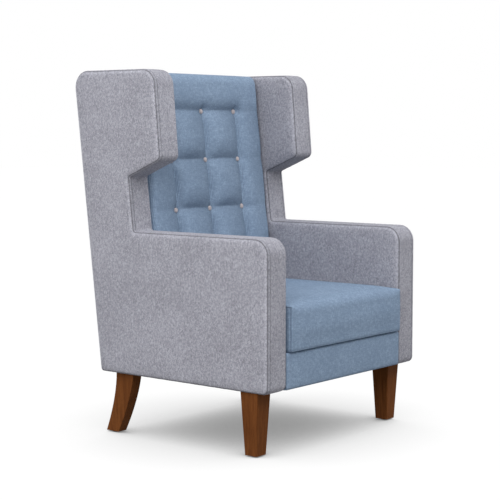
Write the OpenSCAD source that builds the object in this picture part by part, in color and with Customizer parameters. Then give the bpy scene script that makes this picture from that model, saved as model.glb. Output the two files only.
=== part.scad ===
// High-backed lounge chair with padded side panels that form arm, column and wing,
// a tufted back, a loose seat cushion and four timber legs.
// X runs across the chair, Y from front to back, Z up. Left is the sitter's left, at +X.

/* [Side panels] */
// Width over the outer seams of the two side panels
seam_w = 765; // [720:1:820]
// Thickness of a side panel from seam to seam
panel_t = 84; // [78:1:96]
// How far the padded inner face stands proud of its seam
inner_crown = 8; // [5:0.5:10]
// How far the padded outer face stands proud of its seam
outer_crown = 6; // [3:0.5:9]
// Distance from the seam over which a padded face rises
crown_run = 30; // [24:1:40]
// Height of the underside of the upholstered body
body_z = 197; // [170:1:220]
// Height of the arm tops
arm_z = 633; // [600:1:660]
// Height of the back and the wings
back_z = 1121; // [1080:1:1160]
// Depth of a side panel at its underside
base_depth = 655; // [630:1:680]
// Backward lean of the back, in degrees
back_rake = 6.67; // [5:0.01:8]
// Depth of the column between arm and wing
column_depth = 191; // [180:1:205]
// Height of the opening between the arm top and the wing, at the column
notch_h = 168; // [150:1:190]
// Depth of the wing at its lower front corner
wing_low_depth = 326; // [300:1:345]
// Depth of the wing at its top
wing_top_depth = 334; // [310:1:350]
// How much the underside of the wing rises towards the front
wing_rise = 54; // [30:1:70]
// Corner radius at the front of the arm
arm_nose_r = 48; // [35:1:60]
// Corner radius at the top front of the wing
wing_nose_r = 48; // [35:1:60]
// Corner radius at the lower front of the wing
wing_low_r = 20; // [14:1:26]
// Corner radius inside the opening above the arm
notch_r = 10; // [7:1:14]
// Corner radius at the foot of the arm
base_r = 18; // [12:1:22]
// Corner radius at the foot of the back
heel_r = 8; // [5:1:14]
// Corner radius at the top rear
back_top_r = 48; // [35:1:60]

/* [Upholstery layers] */
// Thickness of the cover cloth with its wadding
cloth_t = 2; // [1.5:0.1:2.5]
// Thickness of the boxing strip round a side panel
boxing_t = 3; // [2.4:0.1:4]
// Thickness of the foam sheets on a side frame
side_foam_t = 20; // [16:0.5:22]

/* [Side frames] */
// Width of the timber members of a side frame
member_w = 57; // [50:1:62]
// Corner radius of the openings in a side frame
window_r = 18; // [12:1:24]

/* [Seat base] */
// Height of the deck that the loose cushion lies on
deck_z = 303; // [290:1:312]
// Thickness of the pad over the springs
deck_pad_t = 11; // [8:0.5:14]
// Thickness of the front and rear seat rails
rail_t = 25; // [22:1:30]
// Thickness of the side seat rails
side_rail_t = 22; // [20:1:26]
// How far the padded apron stands forward of the arm fronts
apron_proud = 5; // [3:0.5:8]
// Thickness of the apron's padding
apron_pad_t = 10; // [8:0.5:14]
// Edge radius of the apron
apron_r = 10; // [7:0.5:12]
// Leg length of the triangular corner blocks
block_leg = 70; // [60:1:80]
// Thickness of the cloth under the seat
dust_cover_t = 1; // [0.8:0.1:1.2]

/* [Seat springs] */
// Number of sinuous springs
spring_count = 5; // [4:1:5]
// Width of a spring over its loops
spring_w = 50; // [44:1:56]
// Distance from one run of a spring to the next
spring_pitch = 30; // [28:1:34]
// Diameter of the spring wire
wire_d = 3.8; // [3.4:0.1:4.2]
// Thickness of the spring clips
clip_t = 1.4; // [1.2:0.1:1.6]

/* [Seat cushion] */
// How far the cushion stands forward of the arm fronts
seat_proud = 15; // [10:0.5:20]
// Gap between the loose cushion and the face of the back behind it
seat_back_gap = 3.5; // [2:0.5:20]
// Height of the cushion's boxing, from the deck to its top seam
seat_h = 137; // [126:1:145]
// How far the cushion's top stands above its seam
seat_crown = 14; // [8:1:20]
// How far the boxing swells beyond the seams
seat_bulge = 5; // [3:0.5:7]
// How far the seams draw in between the corners
seat_draw = 3; // [2:0.5:5]
// Corner radius of the cushion in plan
seat_corner_r = 26; // [20:1:32]
// Thickness of the cushion's cover with its wadding
seat_cover_t = 5; // [4:0.5:7]
// Gap between the cushion and each side panel
seat_side_gap = 0.5; // [0.4:0.1:1.5]

/* [Tufted back] */
// Depth from the rear cloth to the edge of the tufted face
back_edge_t = 174; // [168:1:178]
// Depth from the rear cloth to the bottom of a button pit
pit_t = 172; // [165:0.5:176]
// How far the pillows swell beyond the edge of the face
pillow_h = 20; // [14:1:22]
// Share of the swelling that a crease takes away
crease_share = 0.62; // [0.4:0.01:0.8]
// Columns of buttons
button_cols = 3; // [3:1:3]
// Rows of buttons
button_rows = 4; // [4:1:4]
// Distance between button columns
col_pitch = 165; // [155:1:175]
// Height of the lowest row of buttons above the deck
low_row_h = 230; // [215:1:240]
// Height of the plain band above the top row of buttons
top_band_h = 120; // [112:1:130]
// Radius where the face turns over the top
top_round_r = 30; // [24:1:34]
// Thickness of the padding over the top of the back
top_pad_t = 16; // [14:1:20]
// How far the top falls towards the wings
top_drop = 10; // [6:1:11]
// Diameter of the covered buttons
button_d = 16; // [13:0.5:20]
// Height of the covered buttons
button_h = 6; // [4:0.5:8]

/* [Back frame] */
// Thickness of the back frame
back_frame_t = 40; // [36:1:44]
// Thickness of the rear board
board_t = 3; // [2.5:0.1:4]
// Width of the stiles of the back frame
stile_w = 40; // [36:1:46]
// Thickness of the webbing
web_t = 1.4; // [1.2:0.1:1.6]
// Depth of the foam block in the back
back_foam_t = 102; // [96:1:106]

/* [Legs] */
// Width of a front leg at its top
front_leg_top = 63.5; // [56:0.5:66]
// Width of a front leg at its foot
front_leg_foot = 44; // [38:0.5:48]
// Distance from the arm front to the middle of a front leg
front_leg_y = 77.5; // [70:0.5:90]
// Width of a rear leg across the chair at its top
rear_leg_w = 40; // [36:0.5:44]
// Width of a rear leg across the chair at its foot
rear_leg_foot_w = 36; // [32:0.5:38]
// Depth of a rear leg at its top
rear_leg_top = 72; // [66:0.5:76]
// Depth of a rear leg at its foot
rear_leg_foot = 51.5; // [44:0.5:56]
// Distance from the arm front to the middle of a rear leg at its top
rear_leg_y = 577; // [567:0.5:582]
// How far a rear leg sweeps backwards on its way down
rear_leg_sweep = 56; // [40:1:64]
// Exponent of the sweep: 1 is a straight leg, more is more curved
rear_leg_curve = 1.6; // [1.2:0.1:2]
// Radius of the long edges of the legs
leg_edge_r = 2; // [1.5:0.5:5]

/* [Fasteners] */
// Diameter of the panel bolts and the leg bolts
bolt_d = 8; // [7:0.5:9]
// Radial gap round a fastener in its hole
hole_gap = 0.2; // [0.1:0.05:0.3]
// Thickness of the leg plates
plate_t = 2.5; // [2:0.1:3]
// Diameter of the plate screws
screw_d = 4; // [3.5:0.1:4.5]
// Height of a glide under its leg
glide_h = 4; // [3:0.5:5]
// Diameter of a glide
glide_d = 26; // [22:0.5:30]

/* [Hidden] */

// Overrun of a cut past the faces that it goes through
overrun = 1;
// Gap between soft pieces of different bodies
soft_gap = 0.3;
// Facets of round metal pieces
round_fn = 32;

// Planes across the chair, measured from its middle
x_outer = seam_w / 2;
x_inner = x_outer - panel_t;
inner_face = x_inner - inner_crown;
panel_mid = x_outer - panel_t / 2;
x_frame_out = x_outer - cloth_t - side_foam_t;
x_frame_in = x_inner + cloth_t + side_foam_t;

// Corners of the side panel's outline in [y, z], before rounding
function back_y(z) = base_depth + tan(back_rake) * (z - body_z);
notch_z = arm_z + notch_h;
wing_low_z = notch_z + wing_rise;
c_front_low = [0, body_z];
c_arm_nose = [0, arm_z];
c_foot = [back_y(arm_z) - column_depth, arm_z];
c_notch = [back_y(notch_z) - column_depth, notch_z];
c_wing_low = [back_y(wing_low_z) - wing_low_depth, wing_low_z];
c_wing_nose = [back_y(back_z) - wing_top_depth, back_z];
c_back_top = [back_y(back_z), back_z];
c_back_low = [base_depth, body_z];

// Helpers for points
function unit(v) = v / norm(v);
function between(a, b, n) = [for (i = [1:n - 1]) a + (b - a) * i / n];
function reversed(list) = [for (i = [len(list) - 1:-1:0]) list[i]];
function turn(a, b) = (b - a + 540) % 360 - 180;

// Arc of radius r that rounds the corner p between the directions to a and b
function corner(a, p, b, r, n) =
    let (u = unit(a - p), v = unit(b - p), half = acos(u * v) / 2,
         c = p + unit(u + v) * r / sin(half),
         s = p + u * r / tan(half) - c, e = p + v * r / tan(half) - c,
         a0 = atan2(s.y, s.x), sweep = turn(a0, atan2(e.y, e.x)))
    [for (i = [0:n]) c + r * [cos(a0 + sweep * i / n), sin(a0 + sweep * i / n)]];

// Closed polygon with every corner rounded by the same radius
function rounded(pts, r, n) =
    [for (i = [0:len(pts) - 1])
        each corner(pts[(i + len(pts) - 1) % len(pts)], pts[i], pts[(i + 1) % len(pts)], r, n)];

// Outline of the panel as two chains with as many points each: the rear chain runs along
// the underside and up the back, the front chain along the arm, the column and the wing.
back_station_share = [0.24, 0.41, 0.54, 0.6, 0.65, 0.7, 0.735, 0.76, 0.785, 0.83, 0.88, 0.93];
a_front = corner(c_arm_nose, c_front_low, c_back_low, base_r, 3);
a_heel = corner(c_front_low, c_back_low, c_back_top, heel_r, 3);
a_top = corner(c_back_low, c_back_top, c_wing_nose, back_top_r, 5);
rear_chain = concat(
    a_front, between(a_front[3], a_heel[0], 8), a_heel,
    [for (s = back_station_share) a_heel[3] + (a_top[0] - a_heel[3]) * s], a_top);
b_nose = corner(c_front_low, c_arm_nose, c_foot, arm_nose_r, 5);
b_foot = corner(c_arm_nose, c_foot, c_notch, notch_r, 2);
b_notch = corner(c_foot, c_notch, c_wing_low, notch_r, 2);
b_low = corner(c_notch, c_wing_low, c_wing_nose, wing_low_r, 3);
b_top = corner(c_wing_low, c_wing_nose, c_back_top, wing_nose_r, 5);
front_chain = concat(
    b_nose, between(b_nose[5], b_foot[0], 6), b_foot, between(b_foot[2], b_notch[0], 3),
    b_notch, between(b_notch[2], b_low[0], 2), b_low, between(b_low[3], b_top[0], 4), b_top);
outline = concat(rear_chain, reversed(front_chain));

// The same outline moved inwards by d
function inward(a, b) = [-(b - a).y, (b - a).x] / norm(b - a);
function inset(pts, d) =
    [for (i = [0:len(pts) - 1])
        let (n = len(pts), p = pts[i],
             m = inward(pts[(i + n - 1) % n], p), k = inward(p, pts[(i + 1) % n]))
        p + (m + k) * d / (1 + m * k)];

// Crown of a padded face at a distance d from the outline
function crown(d, h) = h * (1 - pow(1 - min(d, crown_run) / crown_run, 2));
function seg_dist(p, a, b) =
    let (t = max(0, min(1, (p - a) * (b - a) / ((b - a) * (b - a))))) norm(p - a - (b - a) * t);
function edge_dist(p) =
    min([for (i = [0:len(outline) - 1]) seg_dist(p, outline[i], outline[(i + 1) % len(outline)])]);
// Half width of what lies between the side panels at a distance d from their outline
function half_at(d) = x_inner - crown(d, inner_crown);

// Overall middle from front to back, which the origin lies under
y_rear = max([for (p = outline) p.x]);
y_mid = (y_rear - seat_proud) / 2;

// Heights in the seat base
rail_low = body_z + cloth_t;
pad_low = deck_z - cloth_t - deck_pad_t;
wire_z = pad_low - soft_gap - wire_d / 2;
clip_gap = hole_gap;
rail_top = wire_z - wire_d / 2 - clip_gap - clip_t;
rail_h = rail_top - rail_low;

// Places from front to back in the seat base
front_rail_y = apron_pad_t + cloth_t - apron_proud;
front_rail_back = front_rail_y + rail_t;
rear_rail_back = back_y(rail_low) - cloth_t - board_t - back_frame_t - soft_gap;
rear_rail_y = rear_rail_back - rail_t;
deck_back = back_y(deck_z) - cloth_t - board_t - back_frame_t - web_t * 2 - soft_gap;

// Depths in the back, measured forwards from its rear cloth
t_board = cloth_t + soft_gap / 3;
t_frame = cloth_t + board_t;
t_web = t_frame + back_frame_t;
t_foam = t_web + web_t * 2 + soft_gap;
t_cover = t_foam + back_foam_t;
back_pad_z = back_z - top_pad_t;
frame_top = back_z - back_top_r * 0.78;
low_row_z = deck_z + low_row_h;
row_pitch = (back_z - top_band_h - low_row_z) / (button_rows - 1);
row_z = [for (i = [0:button_rows - 1]) low_row_z + row_pitch * i];
col_x = [for (i = [0:button_cols - 1]) (i - (button_cols - 1) / 2) * col_pitch];
// The buttons' axes meet the webbing a little lower than the buttons
web_row_z = [for (z = row_z) z - (pit_t - back_frame_t) * sin(back_rake) * cos(back_rake)];
middle_rail_z = (web_row_z[1] + web_row_z[2]) / 2;
// The rails of the back frame and the webbing fit between the rows of buttons
back_rail_h = row_pitch / 3;
web_w = row_pitch * 0.32;

// Linear extrusion across the chair of a shape drawn in [y, z]
module across(x0, x1) {
    translate([x0, 0, 0]) rotate([90, 0, 90]) linear_extrude(x1 - x0) children();
}

module both_sides() {
    children();
    mirror([1, 0, 0]) children();
}

// Every piece is modelled from the arm fronts backwards, and placed over the origin here
module placed() {
    translate([0, -y_mid, 0]) children();
}

// Closed skin with a fine face over a plain back. face is a grid of points, and back has one
// pair of points for each row of the grid, under the row's two ends.
function quad(a, b, c, d) = [[a, b, c], [a, c, d]];
module quilt(face, back) {
    n = len(face) - 1;
    m = len(face[0]) - 1;
    base = (n + 1) * (m + 1);
    points = concat([for (row = face) each row], [for (pair = back) each pair]);
    fine = [for (i = [0:n - 1], j = [0:m - 1])
        let (p = i * (m + 1) + j) each quad(p, p + 1, p + m + 2, p + m + 1)];
    plain = [for (i = [0:n - 1])
        let (p = base + 2 * i) each quad(p, p + 2, p + 3, p + 1)];
    sides = [for (i = [0:n - 1])
        let (p = i * (m + 1), q = base + 2 * i)
        each concat(quad(p, p + m + 1, q + 2, q), quad(p + 2 * m + 1, p + m, q + 1, q + 3))];
    ends = concat(
        [for (j = [0:m - 1]) [base, j + 1, j]], [[base, base + 1, m]],
        [for (j = [0:m - 1]) [base + 2 * n, n * (m + 1) + j, n * (m + 1) + j + 1]],
        [[base + 2 * n, n * (m + 1) + m, base + 2 * n + 1]]);
    polyhedron(points, concat(fine, plain, sides, ends));
}

// Closed skin through a stack of rings with as many points each, with flat or poled ends
module stacked(rings) {
    n = len(rings[0]);
    k = len(rings);
    points = concat([for (r = rings) each r], [mean(rings[0]), mean(rings[k - 1])]);
    walls = [for (i = [0:k - 2], j = [0:n - 1])
        let (p = i * n + j, q = i * n + (j + 1) % n) each quad(p, p + n, q + n, q)];
    caps = [for (j = [0:n - 1]) each [
        [k * n, j, (j + 1) % n],
        [k * n + 1, (k - 1) * n + (j + 1) % n, (k - 1) * n + j]]];
    polyhedron(points, concat(walls, caps));
}
function mean(pts) = [for (i = [0:2]) (min([for (p = pts) p[i]]) + max([for (p = pts) p[i]])) / 2];

// Side frames

// Bolts through the seat box and the back frame into the side frames: [y, z, x of the head]
bolt_z = (rail_low + rail_top) / 2;
block_end = block_leg + 2 * bolt_d;
back_bolt_share = [0.34, 0.8];
bolt_places = concat(
    [for (y = [front_rail_back + block_end, (front_rail_back + rear_rail_y) / 2,
               rear_rail_y - block_end])
        [y, bolt_z, inner_face - side_rail_t]],
    [for (s = back_bolt_share)
        let (z = body_z + (back_z - body_z) * s)
        [back_y(z) - t_frame - back_frame_t / 2, z, inner_face - stile_w]]);
nut_l = bolt_d * 1.75;
nut_flange_t = bolt_d * 0.2;
nut_r = bolt_d * 0.625;

module bolt_holes(r) {
    for (b = bolt_places) translate([0, b.x, b.y]) rotate([0, 90, 0]) cylinder(r = r, h = x_outer);
}

// Legs stand under the middle of the panels, on plates let into the frames
leg_places = [front_leg_y, rear_leg_y];
plate_w = x_frame_out - x_frame_in - 2 * hole_gap;
plate_l = rear_leg_top - 4 * screw_d;
frame_low = body_z + boxing_t;
leg_bolt_top = frame_low + 3.5 * bolt_d;
leg_bolt_low = body_z - 6 * bolt_d;
screw_l = 5.5 * screw_d;

module plate_screw(gap) {
    head_h = plate_t * 0.8;
    head_r = screw_d * 0.9;
    for (u = [-1, 1], v = [-1, 1])
        translate([u * plate_w * 0.32, v * plate_l * 0.4, frame_low]) {
            cylinder(r1 = head_r + gap, r2 = screw_d / 2 + gap, h = head_h, $fn = round_fn);
            cylinder(r = screw_d / 2 + gap, h = screw_l + gap, $fn = round_fn);
        }
}

module side_frame() {
    foot_z = arm_z - member_w;
    post_t = t_frame + back_frame_t + member_w;
    arm_low = frame_low + member_w + boxing_t;
    half_y = (c_front_low.x + back_y(arm_low) - post_t) / 2 + member_w / 4;
    windows = [
        [[member_w, arm_low], [half_y - member_w / 4, arm_low],
         [half_y - member_w / 4, foot_z], [member_w, foot_z]],
        [[half_y + member_w / 2, arm_low], [back_y(arm_low) - post_t, arm_low],
         [back_y(foot_z) - post_t, foot_z], [half_y + member_w / 2, foot_z]],
        [[back_y(arm_z) - column_depth + member_w, arm_z],
         [back_y(arm_z) - member_w, arm_z],
         [back_y(notch_z) - member_w, notch_z],
         [back_y(notch_z) - column_depth + member_w, notch_z]],
        [[c_wing_low.x + member_w, wing_low_z + member_w / 2],
         [back_y(wing_low_z) - member_w, wing_low_z + member_w / 2],
         [back_y(back_z) - 1.3 * member_w, back_z - member_w],
         [c_wing_nose.x + member_w, back_z - member_w]]];
    difference() {
        across(x_frame_in, x_frame_out) difference() {
            polygon(inset(outline, boxing_t));
            for (w = windows) polygon(rounded(w, window_r, 4));
        }
        bolt_holes(bolt_d / 2 + hole_gap, $fn = round_fn);
        for (b = bolt_places) translate([x_frame_out - nut_l, b.x, b.y]) rotate([0, 90, 0]) {
            cylinder(r = nut_r, h = nut_l + overrun, $fn = round_fn);
            translate([0, 0, nut_l - nut_flange_t])
                cylinder(r = nut_r * 2, h = nut_flange_t + overrun, $fn = round_fn);
        }
        for (y = leg_places) translate([panel_mid, y, 0]) {
            translate([-x_outer, -plate_l / 2 - hole_gap, frame_low - overrun])
                cube([2 * x_outer, plate_l + 2 * hole_gap, plate_t + overrun]);
            translate([0, 0, frame_low])
                cylinder(r = bolt_d / 2 + hole_gap, h = leg_bolt_top - frame_low + hole_gap,
                         $fn = round_fn);
            plate_screw(hole_gap);
        }
    }
}

module side_foam(x0) {
    difference() {
        across(x0, x0 + side_foam_t) polygon(inset(outline, boxing_t));
        if (x0 < x_frame_in) bolt_holes(bolt_d / 2 + hole_gap, $fn = round_fn);
    }
}

// The strip of cloth between the two seams, with the holes for the leg bolts
module side_boxing() {
    difference() {
        across(x_inner + cloth_t, x_outer - cloth_t) difference() {
            polygon(outline);
            polygon(inset(outline, boxing_t));
        }
        for (y = leg_places) translate([panel_mid, y, body_z - overrun])
            cylinder(r = bolt_d / 2 + hole_gap, h = boxing_t + 2 * overrun, $fn = round_fn);
    }
}

// Stations across the panel: close together near both seams, where the face rises
rise_share = [0, 0.16, 0.46, 1];
function stations(l) = let (s = rise_share * crown_run)
    concat(s, [l / 2], [for (i = [len(s) - 1:-1:0]) l - s[i]]) / l;
panel_grid = [for (i = [0:len(rear_chain) - 1])
    let (a = rear_chain[i], b = front_chain[i])
    [for (s = stations(norm(b - a))) a + (b - a) * s]];
panel_edge = [for (row = panel_grid) [for (p = row) edge_dist(p)]];

// Padded face on the plane x of its seam, which rises by h in the direction dir
module face_panel(x, h, dir) {
    n = len(panel_grid) - 1;
    m = len(panel_grid[0]) - 1;
    face = [for (i = [0:n])
        [for (j = [0:m])
            [x + dir * crown(panel_edge[i][j], h), panel_grid[i][j].x, panel_grid[i][j].y]]];
    under = [for (i = [0:n]) let (g = panel_grid[i])
        [[x - dir * cloth_t, g[0].x, g[0].y], [x - dir * cloth_t, g[m].x, g[m].y]]];
    quilt(dir > 0 ? [for (row = face) reversed(row)] : face,
          dir > 0 ? [for (pair = under) reversed(pair)] : under);
}

module inner_panel() {
    difference() {
        face_panel(x_inner, inner_crown, -1);
        bolt_holes(bolt_d / 2 + hole_gap, $fn = round_fn);
    }
}

module side_frame_left() { color("burlywood") placed() side_frame(); }
module side_frame_right() { color("burlywood") placed() mirror([1, 0, 0]) side_frame(); }
module side_outer_foam_left() { color("lightyellow") placed() side_foam(x_frame_out); }
module side_outer_foam_right() {
    color("lightyellow") placed() mirror([1, 0, 0]) side_foam(x_frame_out);
}
module side_inner_foam_left() { color("lightyellow") placed() side_foam(x_inner + cloth_t); }
module side_inner_foam_right() {
    color("lightyellow") placed() mirror([1, 0, 0]) side_foam(x_inner + cloth_t);
}
module side_outer_panel_left() { color("darkgray") placed() face_panel(x_outer, outer_crown, 1); }
module side_outer_panel_right() {
    color("darkgray") placed() mirror([1, 0, 0]) face_panel(x_outer, outer_crown, 1);
}
module side_inner_panel_left() { color("darkgray") placed() inner_panel(); }
module side_inner_panel_right() { color("darkgray") placed() mirror([1, 0, 0]) inner_panel(); }
module side_boxing_left() { color("darkgray") placed() side_boxing(); }
module side_boxing_right() { color("darkgray") placed() mirror([1, 0, 0]) side_boxing(); }

// Bolts with their washers, from the inside of the chair into the tee nuts
module side_bolts() {
    head_h = bolt_d * 0.65;
    washer_t = bolt_d * 0.2;
    color("silver") placed() both_sides() for (b = bolt_places)
        translate([b.z, b.x, b.y]) rotate([0, 90, 0]) {
            translate([0, 0, -washer_t]) cylinder(r = bolt_d * 1.25, h = washer_t, $fn = round_fn);
            translate([0, 0, -washer_t - head_h]) cylinder(r = bolt_d * 0.93, h = head_h, $fn = 6);
            translate([0, 0, -washer_t])
                cylinder(r = bolt_d / 2, h = x_frame_out - nut_flange_t - b.z + washer_t,
                         $fn = round_fn);
        }
}

module side_tee_nuts() {
    color("silver") placed() both_sides() for (b = bolt_places)
        translate([x_frame_out - nut_l, b.x, b.y]) rotate([0, 90, 0]) difference() {
            union() {
                cylinder(r = nut_r - hole_gap, h = nut_l, $fn = round_fn);
                translate([0, 0, nut_l - nut_flange_t])
                    cylinder(r = nut_r * 2 - hole_gap, h = nut_flange_t, $fn = round_fn);
            }
            translate([0, 0, -overrun])
                cylinder(r = bolt_d / 2 + hole_gap / 2, h = nut_l + 2 * overrun, $fn = round_fn);
        }
}

// Seat box

module seat_rail(y) {
    translate([-inner_face, y, rail_low]) cube([2 * inner_face, rail_t, rail_h]);
}

module seat_front_rail() { color("burlywood") placed() seat_rail(front_rail_y); }
module seat_rear_rail() { color("burlywood") placed() seat_rail(rear_rail_y); }

module seat_side_rails() {
    color("burlywood") placed() both_sides() difference() {
        translate([inner_face - side_rail_t, front_rail_back, rail_low])
            cube([side_rail_t, rear_rail_y - front_rail_back, rail_h]);
        bolt_holes(bolt_d / 2 + hole_gap, $fn = round_fn);
    }
}

module seat_corner_blocks() {
    corner_x = inner_face - side_rail_t;
    block_h = rail_h * 0.75;
    notch = block_leg * 0.14;
    block = [[0, 0], [-block_leg, 0], [-block_leg, notch], [-notch, block_leg], [0, block_leg]];
    color("burlywood") placed() both_sides() {
        translate([corner_x, front_rail_back, rail_low]) linear_extrude(block_h) polygon(block);
        translate([corner_x, rear_rail_y, rail_low])
            mirror([0, 1, 0]) linear_extrude(block_h) polygon(block);
    }
}

// Sinuous springs: runs straight across, joined by half turns at alternate sides
spring_x = [for (i = [0:spring_count - 1])
    (i - (spring_count - 1) / 2) * 2 * (inner_face - side_rail_t) / (spring_count + 0.4)];
spring_span = rear_rail_y + rail_t / 2 - front_rail_y - rail_t / 2;
spring_runs = floor(spring_span / spring_pitch / 2) * 2;
run_pitch = spring_span / spring_runs;
// Places of the half turns, as angles from the run that enters them
turn_angle = [0, 60, 120, 180];
function spring_route() =
    let (r = run_pitch / 2, reach = spring_w / 2 - r - wire_d / 2, y0 = front_rail_y + rail_t / 2)
    concat(
        [[-reach, y0]],
        [for (i = [0:spring_runs - 1], a = turn_angle)
            let (side = i % 2 == 0 ? 1 : -1)
            [side * (reach + r * sin(a)), y0 + run_pitch * i + r * (1 - cos(a))]],
        [[reach, y0 + spring_span]]);

// Tube of six sides along a flat route
function tube_rings(route, r) =
    [for (i = [0:len(route) - 1])
        let (a = route[max(i - 1, 0)], b = route[min(i + 1, len(route) - 1)],
             t = unit(b - a), n = [t.y, -t.x])
        [for (k = [0:5]) let (q = 60 * k)
            [route[i].x + n.x * r * cos(q), route[i].y + n.y * r * cos(q), r * sin(q)]]];

module seat_springs() {
    route = spring_route();
    color("dimgray") placed() for (x = spring_x)
        translate([x, 0, wire_z]) stacked(tube_rings(route, wire_d / 2));
}

module spring_clips() {
    r = wire_d / 2 + clip_gap;
    clip_w = spring_w * 0.28;
    clip_l = rail_t * 0.8;
    color("silver") placed() for (x = spring_x, y = [front_rail_y, rear_rail_y])
        across(x - clip_w / 2, x + clip_w / 2) translate([y + rail_t / 2, 0]) difference() {
            union() {
                translate([-clip_l / 2, rail_top]) square([clip_l, clip_t]);
                translate([0, wire_z]) circle(r = r + clip_t, $fn = round_fn);
            }
            translate([0, wire_z]) circle(r = r, $fn = round_fn);
            translate([-clip_l, wire_z + r * 0.5]) square([2 * clip_l, 2 * r]);
            translate([-clip_l, rail_top - r]) square([2 * clip_l, r]);
        }
}

module deck_pad() {
    color("whitesmoke") placed() translate([-inner_face, front_rail_y, pad_low])
        cube([2 * inner_face, deck_back - front_rail_y, deck_pad_t]);
}

module deck_cover() {
    color("slategray") placed() translate([-inner_face, front_rail_back, deck_z - cloth_t])
        cube([2 * inner_face, deck_back - front_rail_back, cloth_t]);
}

// Section of the apron: a board-like pad with rounded front edges, grown by d on its front
function apron_section(d) =
    let (y0 = -apron_proud + cloth_t - d, z0 = rail_low - d, z1 = deck_z - cloth_t + d,
         r = apron_r - cloth_t + d)
    concat(
        corner([front_rail_back, z1], [y0, z1], [y0, z0], r, 4),
        corner([y0, z1], [y0, z0], [front_rail_back, z0], r, 4));

// Plan of the apron, with rounded vertical corners at its ends
module apron_plan(d) {
    y0 = -apron_proud + cloth_t - d;
    x0 = inner_face - cloth_t + d;
    r = apron_r + d;
    linear_extrude(back_z) polygon(concat(
        corner([-x0, front_rail_back], [-x0, y0], [x0, y0], r, 4),
        corner([-x0, y0], [x0, y0], [x0, front_rail_back], r, 4),
        [[x0, front_rail_back + overrun], [-x0, front_rail_back + overrun]]));
}

module apron_cover() {
    inner = apron_section(0);
    outer = apron_section(cloth_t);
    color("lightsteelblue") placed() difference() {
        intersection() {
            across(-inner_face, inner_face)
                polygon(concat([[front_rail_back, deck_z]], outer, [[front_rail_back, body_z]]));
            apron_plan(cloth_t);
        }
        intersection() {
            across(-inner_face, inner_face) polygon(concat(
                [[front_rail_back + overrun, deck_z - cloth_t]], inner,
                [[front_rail_back + overrun, rail_low]]));
            union() {
                apron_plan(0);
                translate([-inner_face, front_rail_y, 0])
                    cube([2 * inner_face, rail_t + overrun, back_z]);
            }
        }
    }
}

module apron_pad() {
    color("lightyellow") placed() intersection() {
        across(-inner_face, inner_face) polygon(concat(
            [[front_rail_y, deck_z - cloth_t]], apron_section(0), [[front_rail_y, rail_low]]));
        apron_plan(0);
    }
}

module dust_cover() {
    color("black") placed() translate([-inner_face, front_rail_back, rail_low - dust_cover_t])
        cube([2 * inner_face, back_y(rail_low) - t_frame - front_rail_back, dust_cover_t]);
}

// Loose seat cushion

// Half width of the cushion at its widest, its depth, and the heights of its seams
cushion_half = inner_face - seat_side_gap;
seat_depth = back_y(deck_z) - back_edge_t - seat_back_gap + seat_proud;
cushion_low = deck_z + soft_gap;
seam_low = cushion_low + seat_bulge * 1.6;
seam_high = deck_z + seat_h;

// Side from a to b, drawn in by q at its middle along the direction v
function drawn(a, b, v, q, n) =
    [for (i = [1:n - 1]) let (t = 2 * i / n - 1) a + (b - a) * i / n + v * q * (1 - t * t)];

// Plan of the cushion, grown by g beyond its widest plan and drawn in by q, with n spans a side
function cushion_plan(g, q, n) =
    let (x = cushion_half + g, y0 = -seat_proud - g, y1 = seat_depth - seat_proud + min(g, 0),
         r = seat_corner_r + g, k = n / 2,
         fl = corner([-x, y1], [-x, y0], [x, y0], r, k), fr = corner([-x, y0], [x, y0], [x, y1], r, k),
         rr = corner([x, y0], [x, y1], [-x, y1], r, k), rl = corner([x, y1], [-x, y1], [-x, y0], r, k))
    concat(
        fl, drawn(fl[k], fr[0], [0, 1], q, n), fr, drawn(fr[k], rr[0], [-1, 0], q, n),
        rr, between(rr[k], rl[0], n), rl, drawn(rl[k], fl[0], [1, 0], q, n));

function cushion_ring(g, q, n, z, share) =
    let (c = [0, seat_depth / 2 - seat_proud])
    [for (p = cushion_plan(g, q, n)) let (s = c + (p - c) * share) [s.x, s.y, z]];

// Rings from the middle of the underside round the boxing to the middle of the top.
// The boxing swells like a half wave between its seams, and the top rises like 1 - share ^ 5.
low_share = [0.3, 0.95, 0.985];
wall_share = [0, 0.2, 0.5, 0.8, 1];
top_share = [0.99, 0.965, 0.92, 0.82, 0.6, 0.25];
function cushion_rings(d, n) =
    let (z0 = cushion_low + d, z1 = seam_low + d / 2, z2 = seam_high - d)
    concat(
        [for (s = low_share)
            cushion_ring(-seat_bulge - d, seat_draw, n, s < 0.96 ? z0 : (z0 + z1) / 2, s)],
        [for (s = wall_share)
            cushion_ring(-seat_bulge * (1 - sin(180 * s)) - d, seat_draw * (1 - sin(180 * s)), n,
                         z1 + (z2 - z1) * s, 1)],
        [for (s = top_share)
            cushion_ring(-seat_bulge - d, seat_draw, n, z2 + seat_crown * (1 - pow(s, 5)), s)]);

module seat_cushion_cover() {
    color("lightsteelblue") placed() difference() {
        stacked(cushion_rings(0, 8));
        stacked(cushion_rings(seat_cover_t, 4));
    }
}

module seat_cushion_foam() {
    color("lightyellow") placed() stacked(cushion_rings(seat_cover_t + soft_gap, 4));
}

module seat_cushion_zip() {
    chain_h = seat_h * 0.06;
    chain_t = seat_cover_t * 0.3;
    chain_l = cushion_half * 1.3;
    slider = chain_h * 1.3;
    rear = seat_depth - seat_proud;
    mid_z = (seam_low + seam_high) / 2;
    color("darkslategray") placed() {
        translate([-chain_l / 2, rear, mid_z - chain_h / 2])
            cube([chain_l, chain_t, chain_h]);
        translate([chain_l / 2 - slider * 2, rear + chain_t, mid_z - slider / 2])
            cube([slider, chain_t, slider]);
    }
}

// Back frame

// Four corners of a raked bar from depth t0 to t1 and height z0 to z1
function raked(t0, t1, z0, z1) = [
    [back_y(z0) - t1, z0], [back_y(z0) - t0, z0], [back_y(z1) - t0, z1], [back_y(z1) - t1, z1]];

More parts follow.
